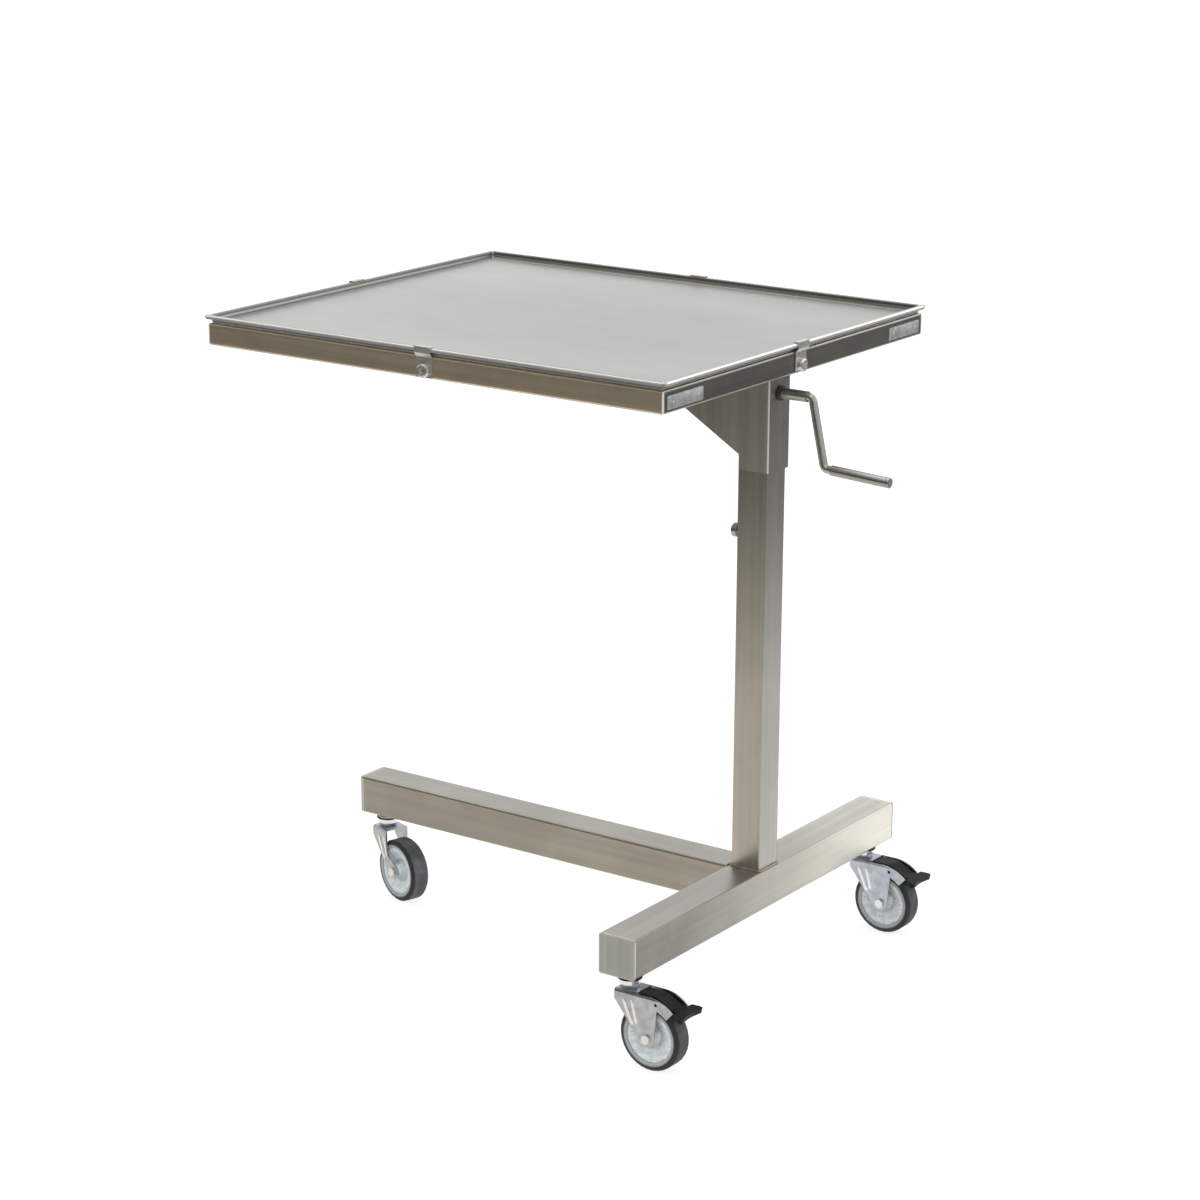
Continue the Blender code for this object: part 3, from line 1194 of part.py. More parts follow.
def build():
    """The whole stand."""
    for obj in list(bpy.data.objects):
        bpy.data.objects.remove(obj)
    make_base_tubes()
    make_end_plates()
    make_outer_column()
    make_upper_glide()
    make_lock_knob()
    make_nut_tube()
    make_spindle_nut()
    lift = add_pivot("lift_pivot", (COLUMN_X, 0, TRAY_BOTTOM))
    make_inner_column(lift)
    make_lower_glide(lift)
    make_head_bracket(lift)
    make_head_back_plate(lift)
    make_head_plate(lift)
    make_rails(lift)
    make_ribs(lift)
    make_tray_panel(lift)
    make_clips(lift)
    make_spindle(lift)
    make_crank_bush(lift)
    make_crank(lift)
    make_castors()


build()
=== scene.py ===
import json
import math

import bmesh
import bpy
from mathutils import Matrix, Vector


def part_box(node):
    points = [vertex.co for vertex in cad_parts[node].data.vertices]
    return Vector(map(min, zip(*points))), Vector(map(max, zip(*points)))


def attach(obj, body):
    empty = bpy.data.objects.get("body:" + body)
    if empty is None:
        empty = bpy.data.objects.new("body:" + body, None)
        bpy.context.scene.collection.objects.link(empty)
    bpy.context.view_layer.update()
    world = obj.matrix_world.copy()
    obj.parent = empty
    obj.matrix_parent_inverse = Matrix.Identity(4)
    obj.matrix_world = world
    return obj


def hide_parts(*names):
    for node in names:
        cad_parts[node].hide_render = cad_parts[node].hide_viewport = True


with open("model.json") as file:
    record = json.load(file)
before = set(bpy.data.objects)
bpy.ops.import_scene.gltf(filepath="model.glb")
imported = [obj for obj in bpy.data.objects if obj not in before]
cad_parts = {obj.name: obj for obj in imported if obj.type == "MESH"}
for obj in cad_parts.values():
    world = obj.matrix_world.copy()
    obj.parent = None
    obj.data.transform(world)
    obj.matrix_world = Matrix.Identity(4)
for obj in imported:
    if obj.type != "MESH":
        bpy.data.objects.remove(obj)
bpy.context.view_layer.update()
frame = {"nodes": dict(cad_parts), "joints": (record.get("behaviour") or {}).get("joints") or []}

# Camera at the photograph's viewing angle
CAMERA_PLACE = (2.652927, -3.8141, 1.879)
CAMERA_TURN = math.radians(34.956)
CAMERA_FALL = math.radians(15.849)
CAMERA_ROLL = math.radians(0.3)
CAMERA_LENS = 96.69
SENSOR_WIDTH = 36.0
VIEW_END = 100.0

# Studio: floor and room as metal sees them, a warm dim front and a white backdrop at the rear
FLOOR_RADIUS = 60.0
FLOOR_EDGES = 96
FLOOR_WHITE = 0.80
SEEN_SHARE = 0.70          # of the floor's look that is plain white to the camera
SEEN_FADE = (1.0, 2.5)     # distance over which that share grows to the whole
SEEN_WHITE = 1.18
REAR_WAY = (-0.573, 0.820, 0.0)
RIGHT_WAY = (0.573, 0.820, 0.0)
RIGHT_STEP = (-0.5, 0.5)   # heading at which the front ends and the right begins
REAR_STEP = (-0.25, 0.45)
CEILING_STEP = (0.25, 0.75)
WHITE_END = 1.2            # where the white floor begins to fall off, from the column
FRONT_DIM = 2.9
RIGHT_DIM = 3.6
FRONT_FLOOR = (0.94, 0.06)
RIGHT_FLOOR = (1.0, 0.16)
WHITE = (1.0, 1.0, 1.0)
WARM = (1.0, 0.93, 0.82)
NEUTRAL = (1.0, 0.99, 0.97)
FRONT_ROOM = 0.10
BACKDROP = 1.0
OVERHEAD = 0.75
ROOM_LIGHT = 1.10

# Where things are, read from the solids
TRAY_LOW, TRAY_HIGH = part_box("tray_panel")
TRAY_MIDDLE = (TRAY_LOW + TRAY_HIGH) / 2
TRAY_HALF = (TRAY_HIGH - TRAY_LOW) / 2
APRON_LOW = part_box("rail_left")[0]
APRON_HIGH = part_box("rail_right")[1]
APRON_MIDDLE = (APRON_LOW + APRON_HIGH) / 2
APRON_HALF = (APRON_HIGH - APRON_LOW) / 2
COLUMN_LOW, COLUMN_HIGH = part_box("column_outer")
COLUMN_AXIS = (COLUMN_LOW + COLUMN_HIGH) / 2
CROSSBAR_LOW, CROSSBAR_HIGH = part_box("base_crossbar")
LEG_LOW, LEG_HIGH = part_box("base_leg")
TUBE_HALF = (LEG_HIGH.y - LEG_LOW.y) / 2
TUBE_MIDDLE = (LEG_LOW.z + LEG_HIGH.z) / 2
BRACKET_LOW, BRACKET_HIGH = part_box("head_bracket")
HEAD_PLATE_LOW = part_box("head_plate")[0]

CASTORS = ("front", "rear", "leg")
OUTWARD = {"front": (0, -1, 0), "right": (1, 0, 0), "rear": (0, 1, 0), "left": (-1, 0, 0)}
CORNERS = (("left_front", -1, -1), ("left_rear", -1, 1), ("right_front", 1, -1), ("right_rear", 1, 1))
ALONG_X = Vector((1, 0, 0))
ALONG_Y = Vector((0, 1, 0))
UP = Vector((0, 0, 1))

# Tones, two where a finish drifts between them
APRON_TONE = ((0.80, 0.68, 0.53), (0.71, 0.61, 0.48))
# The right rail's tone is a darker copy of the apron's steel: painted shade on the right side
RIGHT_SHADED_TONE = ((0.238, 0.230, 0.205), (0.205, 0.200, 0.185))
HEAD_TONE = ((0.56, 0.545, 0.51), (0.50, 0.49, 0.465))
# LEG_TONE and END_TONE are darker copies of the base's steel: painted shade on the leg and the end
# plates
LEG_TONE = ((0.40, 0.38, 0.345), (0.36, 0.35, 0.315))
BASE_TONE = ((0.48, 0.46, 0.42), (0.44, 0.43, 0.39))
END_TONE = ((0.395, 0.42, 0.42), (0.36, 0.39, 0.39))
COLUMN_TONE = ((0.485, 0.465, 0.435), (0.445, 0.435, 0.41))
TYRE_TONE = ((0.036, 0.041, 0.044), (0.068, 0.074, 0.076))
LEG_TYRE_TONE = ((0.060, 0.068, 0.074), (0.125, 0.137, 0.145))
ZINC = ((0.41, 0.44, 0.495), (0.53, 0.565, 0.63))
# Near-white zinc: a painted highlight on the swivel dome and the cheek ribs
HIGHLIGHT_ZINC = ((0.82, 0.84, 0.88), (0.92, 0.94, 0.97))
GUIDE_WHITE = ((0.78, 0.78, 0.75), (0.70, 0.69, 0.65))
TRAY_TONE = ((0.475, 0.475, 0.455), (0.51, 0.51, 0.495))
BRONZE_TONE = ((0.42, 0.26, 0.11), (0.72, 0.50, 0.24))
PLATE_TONE = ((0.36, 0.37, 0.375), (0.50, 0.51, 0.515))
WHEEL_TONE = ((0.54, 0.575, 0.595), (0.72, 0.76, 0.78))
BUSH_BLACK = ((0.018, 0.018, 0.018), (0.035, 0.034, 0.032))
PEDAL_BLACK = ((0.007, 0.007, 0.008), (0.018, 0.018, 0.019))
CLIP_TONE = (0.64, 0.62, 0.57)
CRANK_TONE = (0.50, 0.50, 0.49)
GRIP_TONE = (0.44, 0.44, 0.435)
KNOB_TONE = (0.50, 0.47, 0.46)
GEAR_TONE = (0.40, 0.40, 0.41)
SPINDLE_TONE = (0.55, 0.55, 0.55)
AXLE_TONE = (0.78, 0.79, 0.80)
SCREW_TONE = (0.74, 0.74, 0.72)
SEAM_TONE = (0.80, 0.80, 0.78)
CORNER_TONE = (0.80, 0.79, 0.76)
SHOULDER_TONE = (0.016, 0.017, 0.019)
TYRE_SIDE_TONE = (0.34, 0.365, 0.38)
HUB_RING_TONE = (0.20, 0.21, 0.21)

# Stretches of Y over which painted light makes steel grow lighter
APRON_PALER = (APRON_LOW.y, APRON_HIGH.y)
CROSSBAR_PALER = (0.02, 0.33)

# Stretches of Y, each with how light painted light and shade make a right face at its start and its end
HEAD_RIGHT_SHADE = (-0.1, 0.1, 0.68, 0.68)
CROSSBAR_RIGHT_LIGHT = (-0.30, 0.20, 0.63, 1.36)


def middle_of(node):
    """Middle of a solid's box."""
    low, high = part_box(node)
    return (low + high) / 2


# Shader maths

class Wire:
    """One output of a node, used like a number or handed to another node."""

    def __init__(self, finish, socket):
        self.finish = finish
        self.socket = socket

    def maths(self, operation, *values):
        return self.finish.node("Math", {"operation": operation}, dict(enumerate(values)))

    def __add__(self, other):
        return self.maths("ADD", self, other)

    def __radd__(self, other):
        return self.maths("ADD", other, self)

    def __sub__(self, other):
        return self.maths("SUBTRACT", self, other)

    def __rsub__(self, other):
        return self.maths("SUBTRACT", other, self)

    def __mul__(self, other):
        return self.maths("MULTIPLY", self, other)

    def __rmul__(self, other):
        return self.maths("MULTIPLY", other, self)

    def least(self, other):
        return self.maths("MINIMUM", self, other)

    def most(self, other):
        return self.maths("MAXIMUM", self, other)

    def size(self):
        return self.maths("ABSOLUTE", self)

    def wave(self):
        return self.maths("SINE", self)

    def ramp(self, start, end, low=0.0, high=1.0):
        """Low before start, high after end and a smooth step between them."""
        settings = {"interpolation_type": "SMOOTHSTEP"}
        values = {0: self, 1: start, 2: end, 3: low, 4: high}
        return self.finish.node("MapRange", settings, values)


class Finish:
    """A tree of nodes: a material's, or the world's."""

    def __init__(self, owner):
        owner.use_nodes = True
        self.owner = owner
        self.nodes = owner.node_tree.nodes
        self.links = owner.node_tree.links

    def feed(self, socket, value):
        if isinstance(value, Wire):
            self.links.new(value.socket, socket)
        else:
            socket.default_value = value

    def node(self, kind, settings, values, output=0):
        """A new node with its settings, then its sockets' values or links."""
        made = self.nodes.new("ShaderNode" + kind)
        for name, setting in settings.items():
            if name == "stops":
                place_stops(made.color_ramp, setting)
            else:
                setattr(made, name, setting)
        for name, value in values.items():
            self.feed(made.inputs[name], value)
        return Wire(self, made.outputs[output])

    def place(self):
        """The point on the piece, in metres, at rest."""
        return self.node("TexCoord", {}, {}, "Object")

    def vector(self, operation, *values, output=0):
        return self.node("VectorMath", {"operation": operation}, dict(enumerate(values)), output)

    def along(self, where, way):
        """How far a place lies along a direction."""
        return self.vector("DOT_PRODUCT", where, way, output="Value")

    def length(self, vector):
        return self.vector("LENGTH", vector, output="Value")

    def parts(self, vector):
        """X, Y and Z of a vector."""
        split = self.node("SeparateXYZ", {}, {0: vector})
        outputs = split.socket.node.outputs
        return [Wire(self, output) for output in outputs]

    def noise(self, where, scale, detail=2.0, roughness=0.5):
        values = {"Vector": where, "Scale": scale, "Detail": detail, "Roughness": roughness}
        return self.node("TexNoise", {}, values)

    def blend(self, factor, first, second):
        """A colour between two colours."""
        values = {0: factor, 6: opaque(first), 7: opaque(second)}
        return self.node("Mix", {"data_type": "RGBA"}, values, 2)

    def shade(self, colour, amount):
        """A colour times a number."""
        return self.node("VectorMath", {"operation": "SCALE"}, {0: colour, "Scale": amount})

    def bump(self, height, depth):
        values = {"Height": height, "Strength": 1.0, "Distance": depth}
        return self.node("Bump", {}, values)

    def paint(self, values):
        """Sets or links the sockets of the material's own shader."""
        shader = self.nodes["Principled BSDF"]
        for name, value in values.items():
            self.feed(shader.inputs[name], value)


def place_stops(ramp, stops):
    while len(ramp.elements) < len(stops):
        ramp.elements.new(1.0)
    for element, (position, colour) in zip(ramp.elements, stops):
        element.position = position
        element.color = opaque(colour)


def opaque(colour):
    """A colour with its alpha; a wire has its own."""
    return colour if isinstance(colour, Wire) else (*colour, 1.0)


def new_finish(name):
    return Finish(bpy.data.materials.new(name))


def around(middle, *swings):
    """A value about a middle, moved by noises from 0 to 1, each given with its whole swing."""
    value = middle - sum(swing for _, swing in swings) / 2
    for noise, swing in swings:
        value = value + noise * swing
    return value


def grain_noise(finish, where, grain, across, along, detail=1.0, roughness=0.5):
    """A noise that runs in lines along the grain, so many to a metre across and along it."""
    scale = [along if axis == grain else across for axis in "XYZ"]
    return finish.noise(finish.vector("MULTIPLY", where, scale), 1.0, detail, roughness)


def from_axis(finish, centre, axis):
    """The place seen from a centre, its distance from an axis through it and along that axis."""
    where = finish.vector("SUBTRACT", finish.place(), centre)
    radius = finish.length(finish.vector("CROSS_PRODUCT", where, axis))
    return where, radius, finish.along(where, axis)


# Brushed steel

GRAIN_ACROSS = 900.0       # brush lines to a metre, across the grain
GRAIN_ALONG = 5.0
GRAIN_DEPTH = 0.00006
STREAK_ACROSS = 110.0
STREAK_ALONG = 1.6
CLOUD_SCALE = 7.0
TONE_STEP = (0.38, 0.62)   # of a noise, where it turns one tone into the other
EDGE_WIDTH = 0.003         # of the edges, worn glossier and lit by a painted highlight
EDGE_GLOSS = 0.08
FACE_STEP = (-0.0015, -0.0005)     # from a face, where its painted light begins
PALER_BY = 0.42            # how much lighter painted light makes steel over its paler stretch
CORNER_FADE = (0.0012, 0.0036)     # from a bend's outer edge, where its painted highlight and dull film end
CORNER_FILM = 0.55
CORNER_HIGHLIGHT = 0.5


def near_edge(finish, where, box):
    """1 along the edges of a box-shaped piece, falling to 0 on its faces."""
    low, high = box
    offset = finish.vector("SUBTRACT", where, (low + high) / 2)
    inside = finish.vector("SUBTRACT", (high - low) / 2, finish.vector("ABSOLUTE", offset))
    x, y, z = finish.parts(inside)
    edge = x.least(y).most(x.most(y).least(z))
    return edge.ramp(0.0, EDGE_WIDTH, 1.0, 0.0)


def near_corner(finish, where, corner):
    """1 on an upright corner that stands at corner, falling to 0 on its faces."""
    x, y, _ = finish.parts(where)
    off = (x - corner.x).size().most((y - corner.y).size())
    return off.ramp(*CORNER_FADE, 1.0, 0.0)


def on_face(finish, where, box, axis):
    """1 on the right face of a box-shaped piece (axis 0) or on its top (axis 2)."""
    return (finish.parts(where)[axis] - box[1][axis]).ramp(*FACE_STEP)


def painted_light_by_place(light, finish, where, box, clouds, paler=None, right=None, top=0.0):
    """Painted light and shade on the steel, as they change over the piece.

    paler is the stretch of Y over which painted light makes the steel grow lighter. right is
    how light painted light and shade make the right face at the start and the end of a
    stretch of Y, and top how much lighter painted light makes the top.
    """
    if paler:
        light = light * finish.parts(where)[1].ramp(*paler, 1.0, 1.0 + PALER_BY)
    if right:
        level = finish.parts(where)[1].ramp(*right)
        change = (level - 1.0) * on_face(finish, where, box, 0)
        light = light * (1.0 + change * (0.5 + clouds))
    if top:
        light = light * (1.0 + top * on_face(finish, where, box, 2))
    return light


def brushed_steel(name, tones, grain, box, roughness=0.35, rubbing=0.15, film=0.0, ground=0.0,
                  corner=None, **places):
    """Brushed stainless steel that drifts between two tones, its edges worn glossier and
    lit by a painted highlight.

    rubbing is how much lighter its edges are, a painted highlight that turns to painted
    shade below 0; film how far a dull film hides the metal, ground how far its edges are
    matt, and corner an upright corner lit by a painted highlight under a dull film.
    """
    finish = new_finish(name)
    where = finish.place()
    lines = grain_noise(finish, where, grain, GRAIN_ACROSS, GRAIN_ALONG)
    streaks = grain_noise(finish, where, grain, STREAK_ACROSS, STREAK_ALONG, detail=2.0)
    clouds = finish.noise(where, CLOUD_SCALE, detail=3.0, roughness=0.6)
    edge_band = near_edge(finish, where, box)
    # Edges made lighter by the edge factor: a painted highlight, painted shade where the factor is
    # below 0
    light = around(1.0, (lines, 0.16), (streaks, 0.36)) * (1.0 + rubbing * edge_band)
    light = painted_light_by_place(light, finish, where, box, clouds, **places)
    metal = 1.0 - film
    if ground:
        metal = metal - ground * edge_band
    if corner:
        # A painted highlight down the upright corner, under a dull film
        bare = near_corner(finish, where, corner)
        metal = metal - CORNER_FILM * bare
        light = light * (1.0 + CORNER_HIGHLIGHT * bare)
    finish.paint({
        "Base Color": finish.shade(finish.blend(clouds.ramp(*TONE_STEP), *tones), light),
        "Roughness": around(roughness, (streaks, 0.06), (clouds, 0.06)) - EDGE_GLOSS * edge_band,
        "Metallic": metal,
        "Normal": finish.bump(lines, GRAIN_DEPTH),
    })
    return finish.owner


# Tray sheet: insets are measured in from its outer edge, and heights from the top of its lip

TRAY_STEP = (0.3, 0.7)
TRAY_LEVEL = 1.06
WIPE_ACROSS = 18.0
WIPE_ALONG = 7.0
SPOT_SCALE = 160.0
OUTER_WALL = (0.0010, 0.0030)
FRONT_LIP = (0.008, 0.012)
LIP_HEIGHT = (-0.0022, -0.0012)
RIM_FOOT = (-0.0095, -0.0085)
BEND_INSET = (0.0050, 0.0062)
BEND_HEIGHT = (-0.0050, -0.0038)
UNDER_LIP = (0.0050, 0.0070)
FOOT_LINE_START = (-0.00995, -0.0096)
FOOT_LINE_END = (-0.0085, -0.0068)
MIDDLE_REACH = 0.20          # what x * x + 2 * y * y comes to where the painted shade of the middle ends
TURNED_OUT = (0.02, 0.12)  # how far a wall faces away from the tray's middle
# Painted light and shade on the sheet: a darker rim, bend and rim foot, highlights on the lip's top and
# outer face, a darker middle
RIM_SHADE = 0.22
LIP_HIGHLIGHT = 0.50
LIP_FRONT_DARKER = 0.7
OUTSIDE_HIGHLIGHT = 0.9
BEND_SHADE = 0.6
FOOT_SHADE = 0.62
MIDDLE_SHADE = 0.11
DRIFT_LEFT = 0.06          # painted light: how much lighter the sheet is at its left edge than in its middle
DRIFT_REAR = 0.04
OUTSIDE_FILM = 0.13
UNDER_LIP_FILM = 0.55
FOOT_DULL = 0.10
LIP_GLOSS = 0.06


def tray_foot_line(rise):
    """1 in the corner at the foot of the rim."""
    return rise.ramp(*FOOT_LINE_START) * rise.ramp(*FOOT_LINE_END, 1.0, 0.0)


def tray_lip(y, rise):
    """1 on the top of the lip, less at the front."""
    front = (y + TRAY_HALF.y).ramp(*FRONT_LIP, 1.0, 0.0)
    return rise.ramp(*LIP_HEIGHT) * (1.0 - LIP_FRONT_DARKER * front)


def tray_film(finish, where, inset):
    """How far a film hides the metal: on the outer wall, and more on the wall under the lip."""
    facing = finish.vector("MULTIPLY", finish.node("NewGeometry", {}, {}, "Normal"), (1, 1, 0))
    under_lip = finish.along(facing, where).ramp(*TURNED_OUT) * inset.ramp(*UNDER_LIP)
    return OUTSIDE_FILM * inset.ramp(*OUTER_WALL, 1.0, 0.0) + UNDER_LIP_FILM * under_lip


def tray_light(x, y, inset, rise):
    """How light the sheet is, all painted light and shade: a darker rim, bend and foot,
    painted highlights on the lip, a darker middle, lighter towards the left and rear.
    """
    on_rim = rise.ramp(*RIM_FOOT)
    outside = inset.ramp(*OUTER_WALL, 1.0, 0.0)
    bend = inset.ramp(*BEND_INSET) * rise.ramp(*BEND_HEIGHT)
    # Painted shade darkens the middle; worn here names that shade, not wear
    worn = (x * x + 2.0 * y * y).ramp(0.0, MIDDLE_REACH, 1.0, 0.0) * (1.0 - on_rim)
    drift = 1.0 - x * (DRIFT_LEFT / TRAY_HALF.x) + y * (DRIFT_REAR / TRAY_HALF.y)
    rim = 1.0 - RIM_SHADE * on_rim + LIP_HIGHLIGHT * tray_lip(y, rise)
    # Painted shade along the rim's foot and in the bend under the lip
    folds = (1.0 - FOOT_SHADE * tray_foot_line(rise)) * (1.0 - BEND_SHADE * bend)
    return rim * folds * (1.0 + OUTSIDE_HIGHLIGHT * outside) * (TRAY_LEVEL - MIDDLE_SHADE * worn) * drift


def tray_sheet_steel():
    """Fine satin sheet, wiped clean, with painted shade on its rim, its bend and a line at
    the rim's foot, and painted highlights on its lip.
    """
    finish = new_finish("tray_satin")
    where = finish.place()
    lines = grain_noise(finish, where, "X", GRAIN_ACROSS, GRAIN_ALONG)
    wiped = grain_noise(finish, where, "X", WIPE_ACROSS, WIPE_ALONG, detail=3.0, roughness=0.6)
    spots = finish.noise(where, SPOT_SCALE, detail=1.0)
    x, y, z = finish.parts(finish.vector("SUBTRACT", where, TRAY_MIDDLE))
    inset = (TRAY_HALF.x - x.size()).least(TRAY_HALF.y - y.size())
    rise = z - TRAY_HALF.z
    light = around(1.0, (lines, 0.08), (spots, 0.04)) * tray_light(x, y, inset, rise)
    dull = around(0.38, (wiped, 0.04), (spots, 0.04))
    finish.paint({
        "Base Color": finish.shade(finish.blend(wiped.ramp(*TRAY_STEP), *TRAY_TONE), light),
        "Roughness": dull + FOOT_DULL * tray_foot_line(rise) - LIP_GLOSS * tray_lip(y, rise),
        "Metallic": 1.0 - tray_film(finish, where, inset),
        "Normal": finish.bump(lines, GRAIN_DEPTH),
    })
    return finish.owner


# Other metal

TURNING_MARKS = 9000.0
RING_LIGHT = 0.05
SOFT_STEP = (0.35, 0.65)
SCRATCH_SCALES = (1500.0, 300.0, 80.0)
FINE_DEPTH = 0.00002
SPANGLE_SCALE = 420.0
SPANGLE_DEPTH = 0.00015
DOME_BLUR = 0.002
WELD_TONES = (             # clean, straw and blue
    (0.30, (0.50, 0.47, 0.43)),
    (0.52, (0.46, 0.38, 0.26)),
    (0.66, (0.30, 0.31, 0.36)),
)
WELD_DEPTH = 0.0001
BRONZE_DEPTH = 0.00003
PLATE_METAL = 0.75
PLATE_DEPTH = 0.00004


def turned_steel(name, colour, centre, axis, roughness=0.29):
    """Steel from the lathe, its fine rings about an axis."""
    finish = new_finish(name)
    where, radius, along = from_axis(finish, centre, axis)
    rings = ((radius + along) * TURNING_MARKS).wave()
    worn = finish.noise(where, scale=90.0)
    finish.paint({
        "Base Color": finish.shade(colour, around(0.97, (worn, 0.18)) + RING_LIGHT * rings),
        "Roughness": around(roughness, (worn, 0.10)),
        "Metallic": 1.0,
        "Normal": finish.bump(rings, FINE_DEPTH),
    })
    return finish.owner


def polished_steel(name, colour, roughness, film=0.0):
    """Bright steel with handling marks, under a thin dull film where it isn't polished."""
    finish = new_finish(name)
    where = finish.place()
    marks = finish.noise(where, scale=60.0, detail=3.0, roughness=0.6)
    scratches = finish.noise(finish.vector("MULTIPLY", where, SCRATCH_SCALES), 1.0, detail=1.0)
    finish.paint({
        "Base Color": finish.shade(colour, around(0.99, (marks, 0.20), (scratches, 0.06))),
        "Roughness": around(roughness, (marks, 0.12), (scratches, 0.04)),
        "Metallic": 1.0 - film,
        "Normal": finish.bump(scratches, FINE_DEPTH),
    })
    return finish.owner


def zinc_plate(name, tones, roughness=0.29, dome_low=None):
    """Zinc on pressed steel, with a faint spangle and a blue cast, and a painted highlight
    on the dome above dome_low.
    """
    finish = new_finish(name)
    where = finish.place()
    values = {"Vector": where, "Scale": SPANGLE_SCALE}
    spangle = finish.node("TexVoronoi", {"feature": "F1"}, values, "Distance")
    clouds = finish.noise(where, scale=70.0, detail=3.0, roughness=0.6)
    tone = finish.blend(clouds.ramp(*SOFT_STEP), *tones)
    if dome_low:
        # Painted highlight on the swivel dome
        dome = finish.parts(where)[2].ramp(dome_low, dome_low + DOME_BLUR)
        tone = finish.blend(dome, tone, HIGHLIGHT_ZINC[1])
    finish.paint({
        "Base Color": finish.shade(tone, around(0.99, (spangle, 0.14))),
        "Roughness": around(roughness, (clouds, 0.14)),
        "Metallic": 1.0,
        "Normal": finish.bump(clouds, SPANGLE_DEPTH),
    })
    return finish.owner


def weld_metal():
    """Weld bead, straw and blue from the heat in places."""
    finish = new_finish("weld_metal")
    where = finish.place()
    heat = finish.noise(where, scale=110.0)
    pits = finish.noise(where, scale=1400.0)
    tone = finish.node("ValToRGB", {"stops": WELD_TONES}, {0: heat})
    finish.paint({
        "Base Color": finish.shade(tone, around(0.975, (pits, 0.25))),
        "Roughness": around(0.44, (pits, 0.2)),
        "Metallic": 1.0,
        "Normal": finish.bump(pits, WELD_DEPTH),
    })
    return finish.owner


def bronze_metal():
    """Machined bronze, browned in clouds."""
    finish = new_finish("nut_bronze")
    where = finish.place()
    clouds = finish.noise(where, scale=80.0, detail=3.0)
    finish.paint({
        "Base Color": finish.blend(clouds, *BRONZE_TONE),
        "Roughness": around(0.38, (clouds, 0.2)),
        "Metallic": 1.0,
        "Normal": finish.bump(finish.noise(where, scale=1500.0), BRONZE_DEPTH),
    })
    return finish.owner


def plate_metal():
    """Bare satin aluminium of the two label plates."""
    finish = new_finish("plate_aluminium")
    where = finish.place()
    lines = grain_noise(finish, where, "Y", across=2200.0, along=40.0)
    worn = finish.noise(where, scale=90.0, detail=3.0, roughness=0.6)
    tone = finish.blend(worn.ramp(*SOFT_STEP), *PLATE_TONE)
    finish.paint({
        "Base Color": finish.shade(tone, around(1.0, (lines, 0.3))),
        "Roughness": around(0.455, (worn, 0.15)),
        "Metallic": PLATE_METAL,
        "Normal": finish.bump(lines, PLATE_DEPTH),
    })
    return finish.owner


# Plastic and rubber

MOULD_GRAIN = 900.0
MOULD_DEPTH = 0.00006
DUST_STEP = (0.4, 0.7)
TYRE_DUST_STEP = (0.35, 0.7)
SHOULDER = (0.0110, 0.0132)        # from the middle of a tyre along its axle
TYRE_SIDE = (0.0120, 0.0135)
TYRE_BEAD = (0.0405, 0.0440)       # from its axle
TREAD_RIBS = 2600.0
RIB_BUMP = 0.12
WHEEL_RINGS = 2400.0
MOTTLE_BUMP = 0.6
RING_BUMP = 0.15
WHEEL_DEPTH = 0.0002
HUB_RING_START = (0.012, 0.016)    # from the axle
HUB_RING_END = (0.017, 0.021)
HUB_RING_DARKENING = 0.30


def moulded_plastic(name, tones, roughness, gloss=0.5):
    """Moulded plastic with a fine eroded grain, dusty in places."""
    finish = new_finish(name)
    where = finish.place()
    grain = finish.noise(where, MOULD_GRAIN)
    dust = finish.noise(where, scale=35.0, detail=4.0, roughness=0.6)
    finish.paint({
        "Base Color": finish.blend(dust.ramp(*DUST_STEP), *tones),
        "Roughness": around(roughness, (grain, 0.12)),
        "Normal": finish.bump(grain, MOULD_DEPTH),
        "Specular IOR Level": gloss,
    })
    return finish.owner


def tyre_rubber(name, centre, axle, tones):
    """Blue-grey rubber: a dusty tread, a black shoulder and a paler side."""
    finish = new_finish(name)
    where, radius, along = from_axis(finish, centre, axle)
    scuffs = finish.noise(where, scale=240.0, detail=3.0, roughness=0.6)
    dust = finish.noise(where, scale=40.0, detail=3.0)
    off_middle = along.size()
    bead = radius.ramp(*TYRE_BEAD, 1.0, 0.0) * off_middle.ramp(*TYRE_SIDE)
    tread = finish.blend(dust.ramp(*TYRE_DUST_STEP), *tones)
    tone = finish.blend(off_middle.ramp(*SHOULDER), tread, SHOULDER_TONE)
    tone = finish.blend(bead, tone, TYRE_SIDE_TONE)
    ribs = (along * TREAD_RIBS).wave()
    finish.paint({
        "Base Color": finish.shade(tone, around(1.0, (scuffs, 0.3))),
        "Roughness": around(0.68, (scuffs, 0.2)),
        "Normal": finish.bump(scuffs + RIB_BUMP * ribs, WHEEL_DEPTH),
    })
    return finish.owner


def wheel_plastic(name, centre, axle):
    """Pale grey nylon with moulded rings, mottled, and darker in a ring round the hub."""
    finish = new_finish(name)
    where, radius, _ = from_axis(finish, centre, axle)
    mottle = finish.noise(where, scale=150.0, detail=4.0, roughness=0.7)
    rings = (radius * WHEEL_RINGS).wave()
    hub_ring = radius.ramp(*HUB_RING_START) * radius.ramp(*HUB_RING_END, 1.0, 0.0)
    nylon = finish.blend(mottle.ramp(*TONE_STEP), *WHEEL_TONE)
    tone = finish.blend(HUB_RING_DARKENING * hub_ring, nylon, HUB_RING_TONE)
    finish.paint({
        "Base Color": finish.shade(tone, 1.0 - RING_LIGHT + RING_LIGHT * rings),
        "Roughness": around(0.38, (mottle, 0.16)),
        "Normal": finish.bump(MOTTLE_BUMP * mottle + RING_BUMP * rings, WHEEL_DEPTH),
    })
    return finish.owner


# Meshes

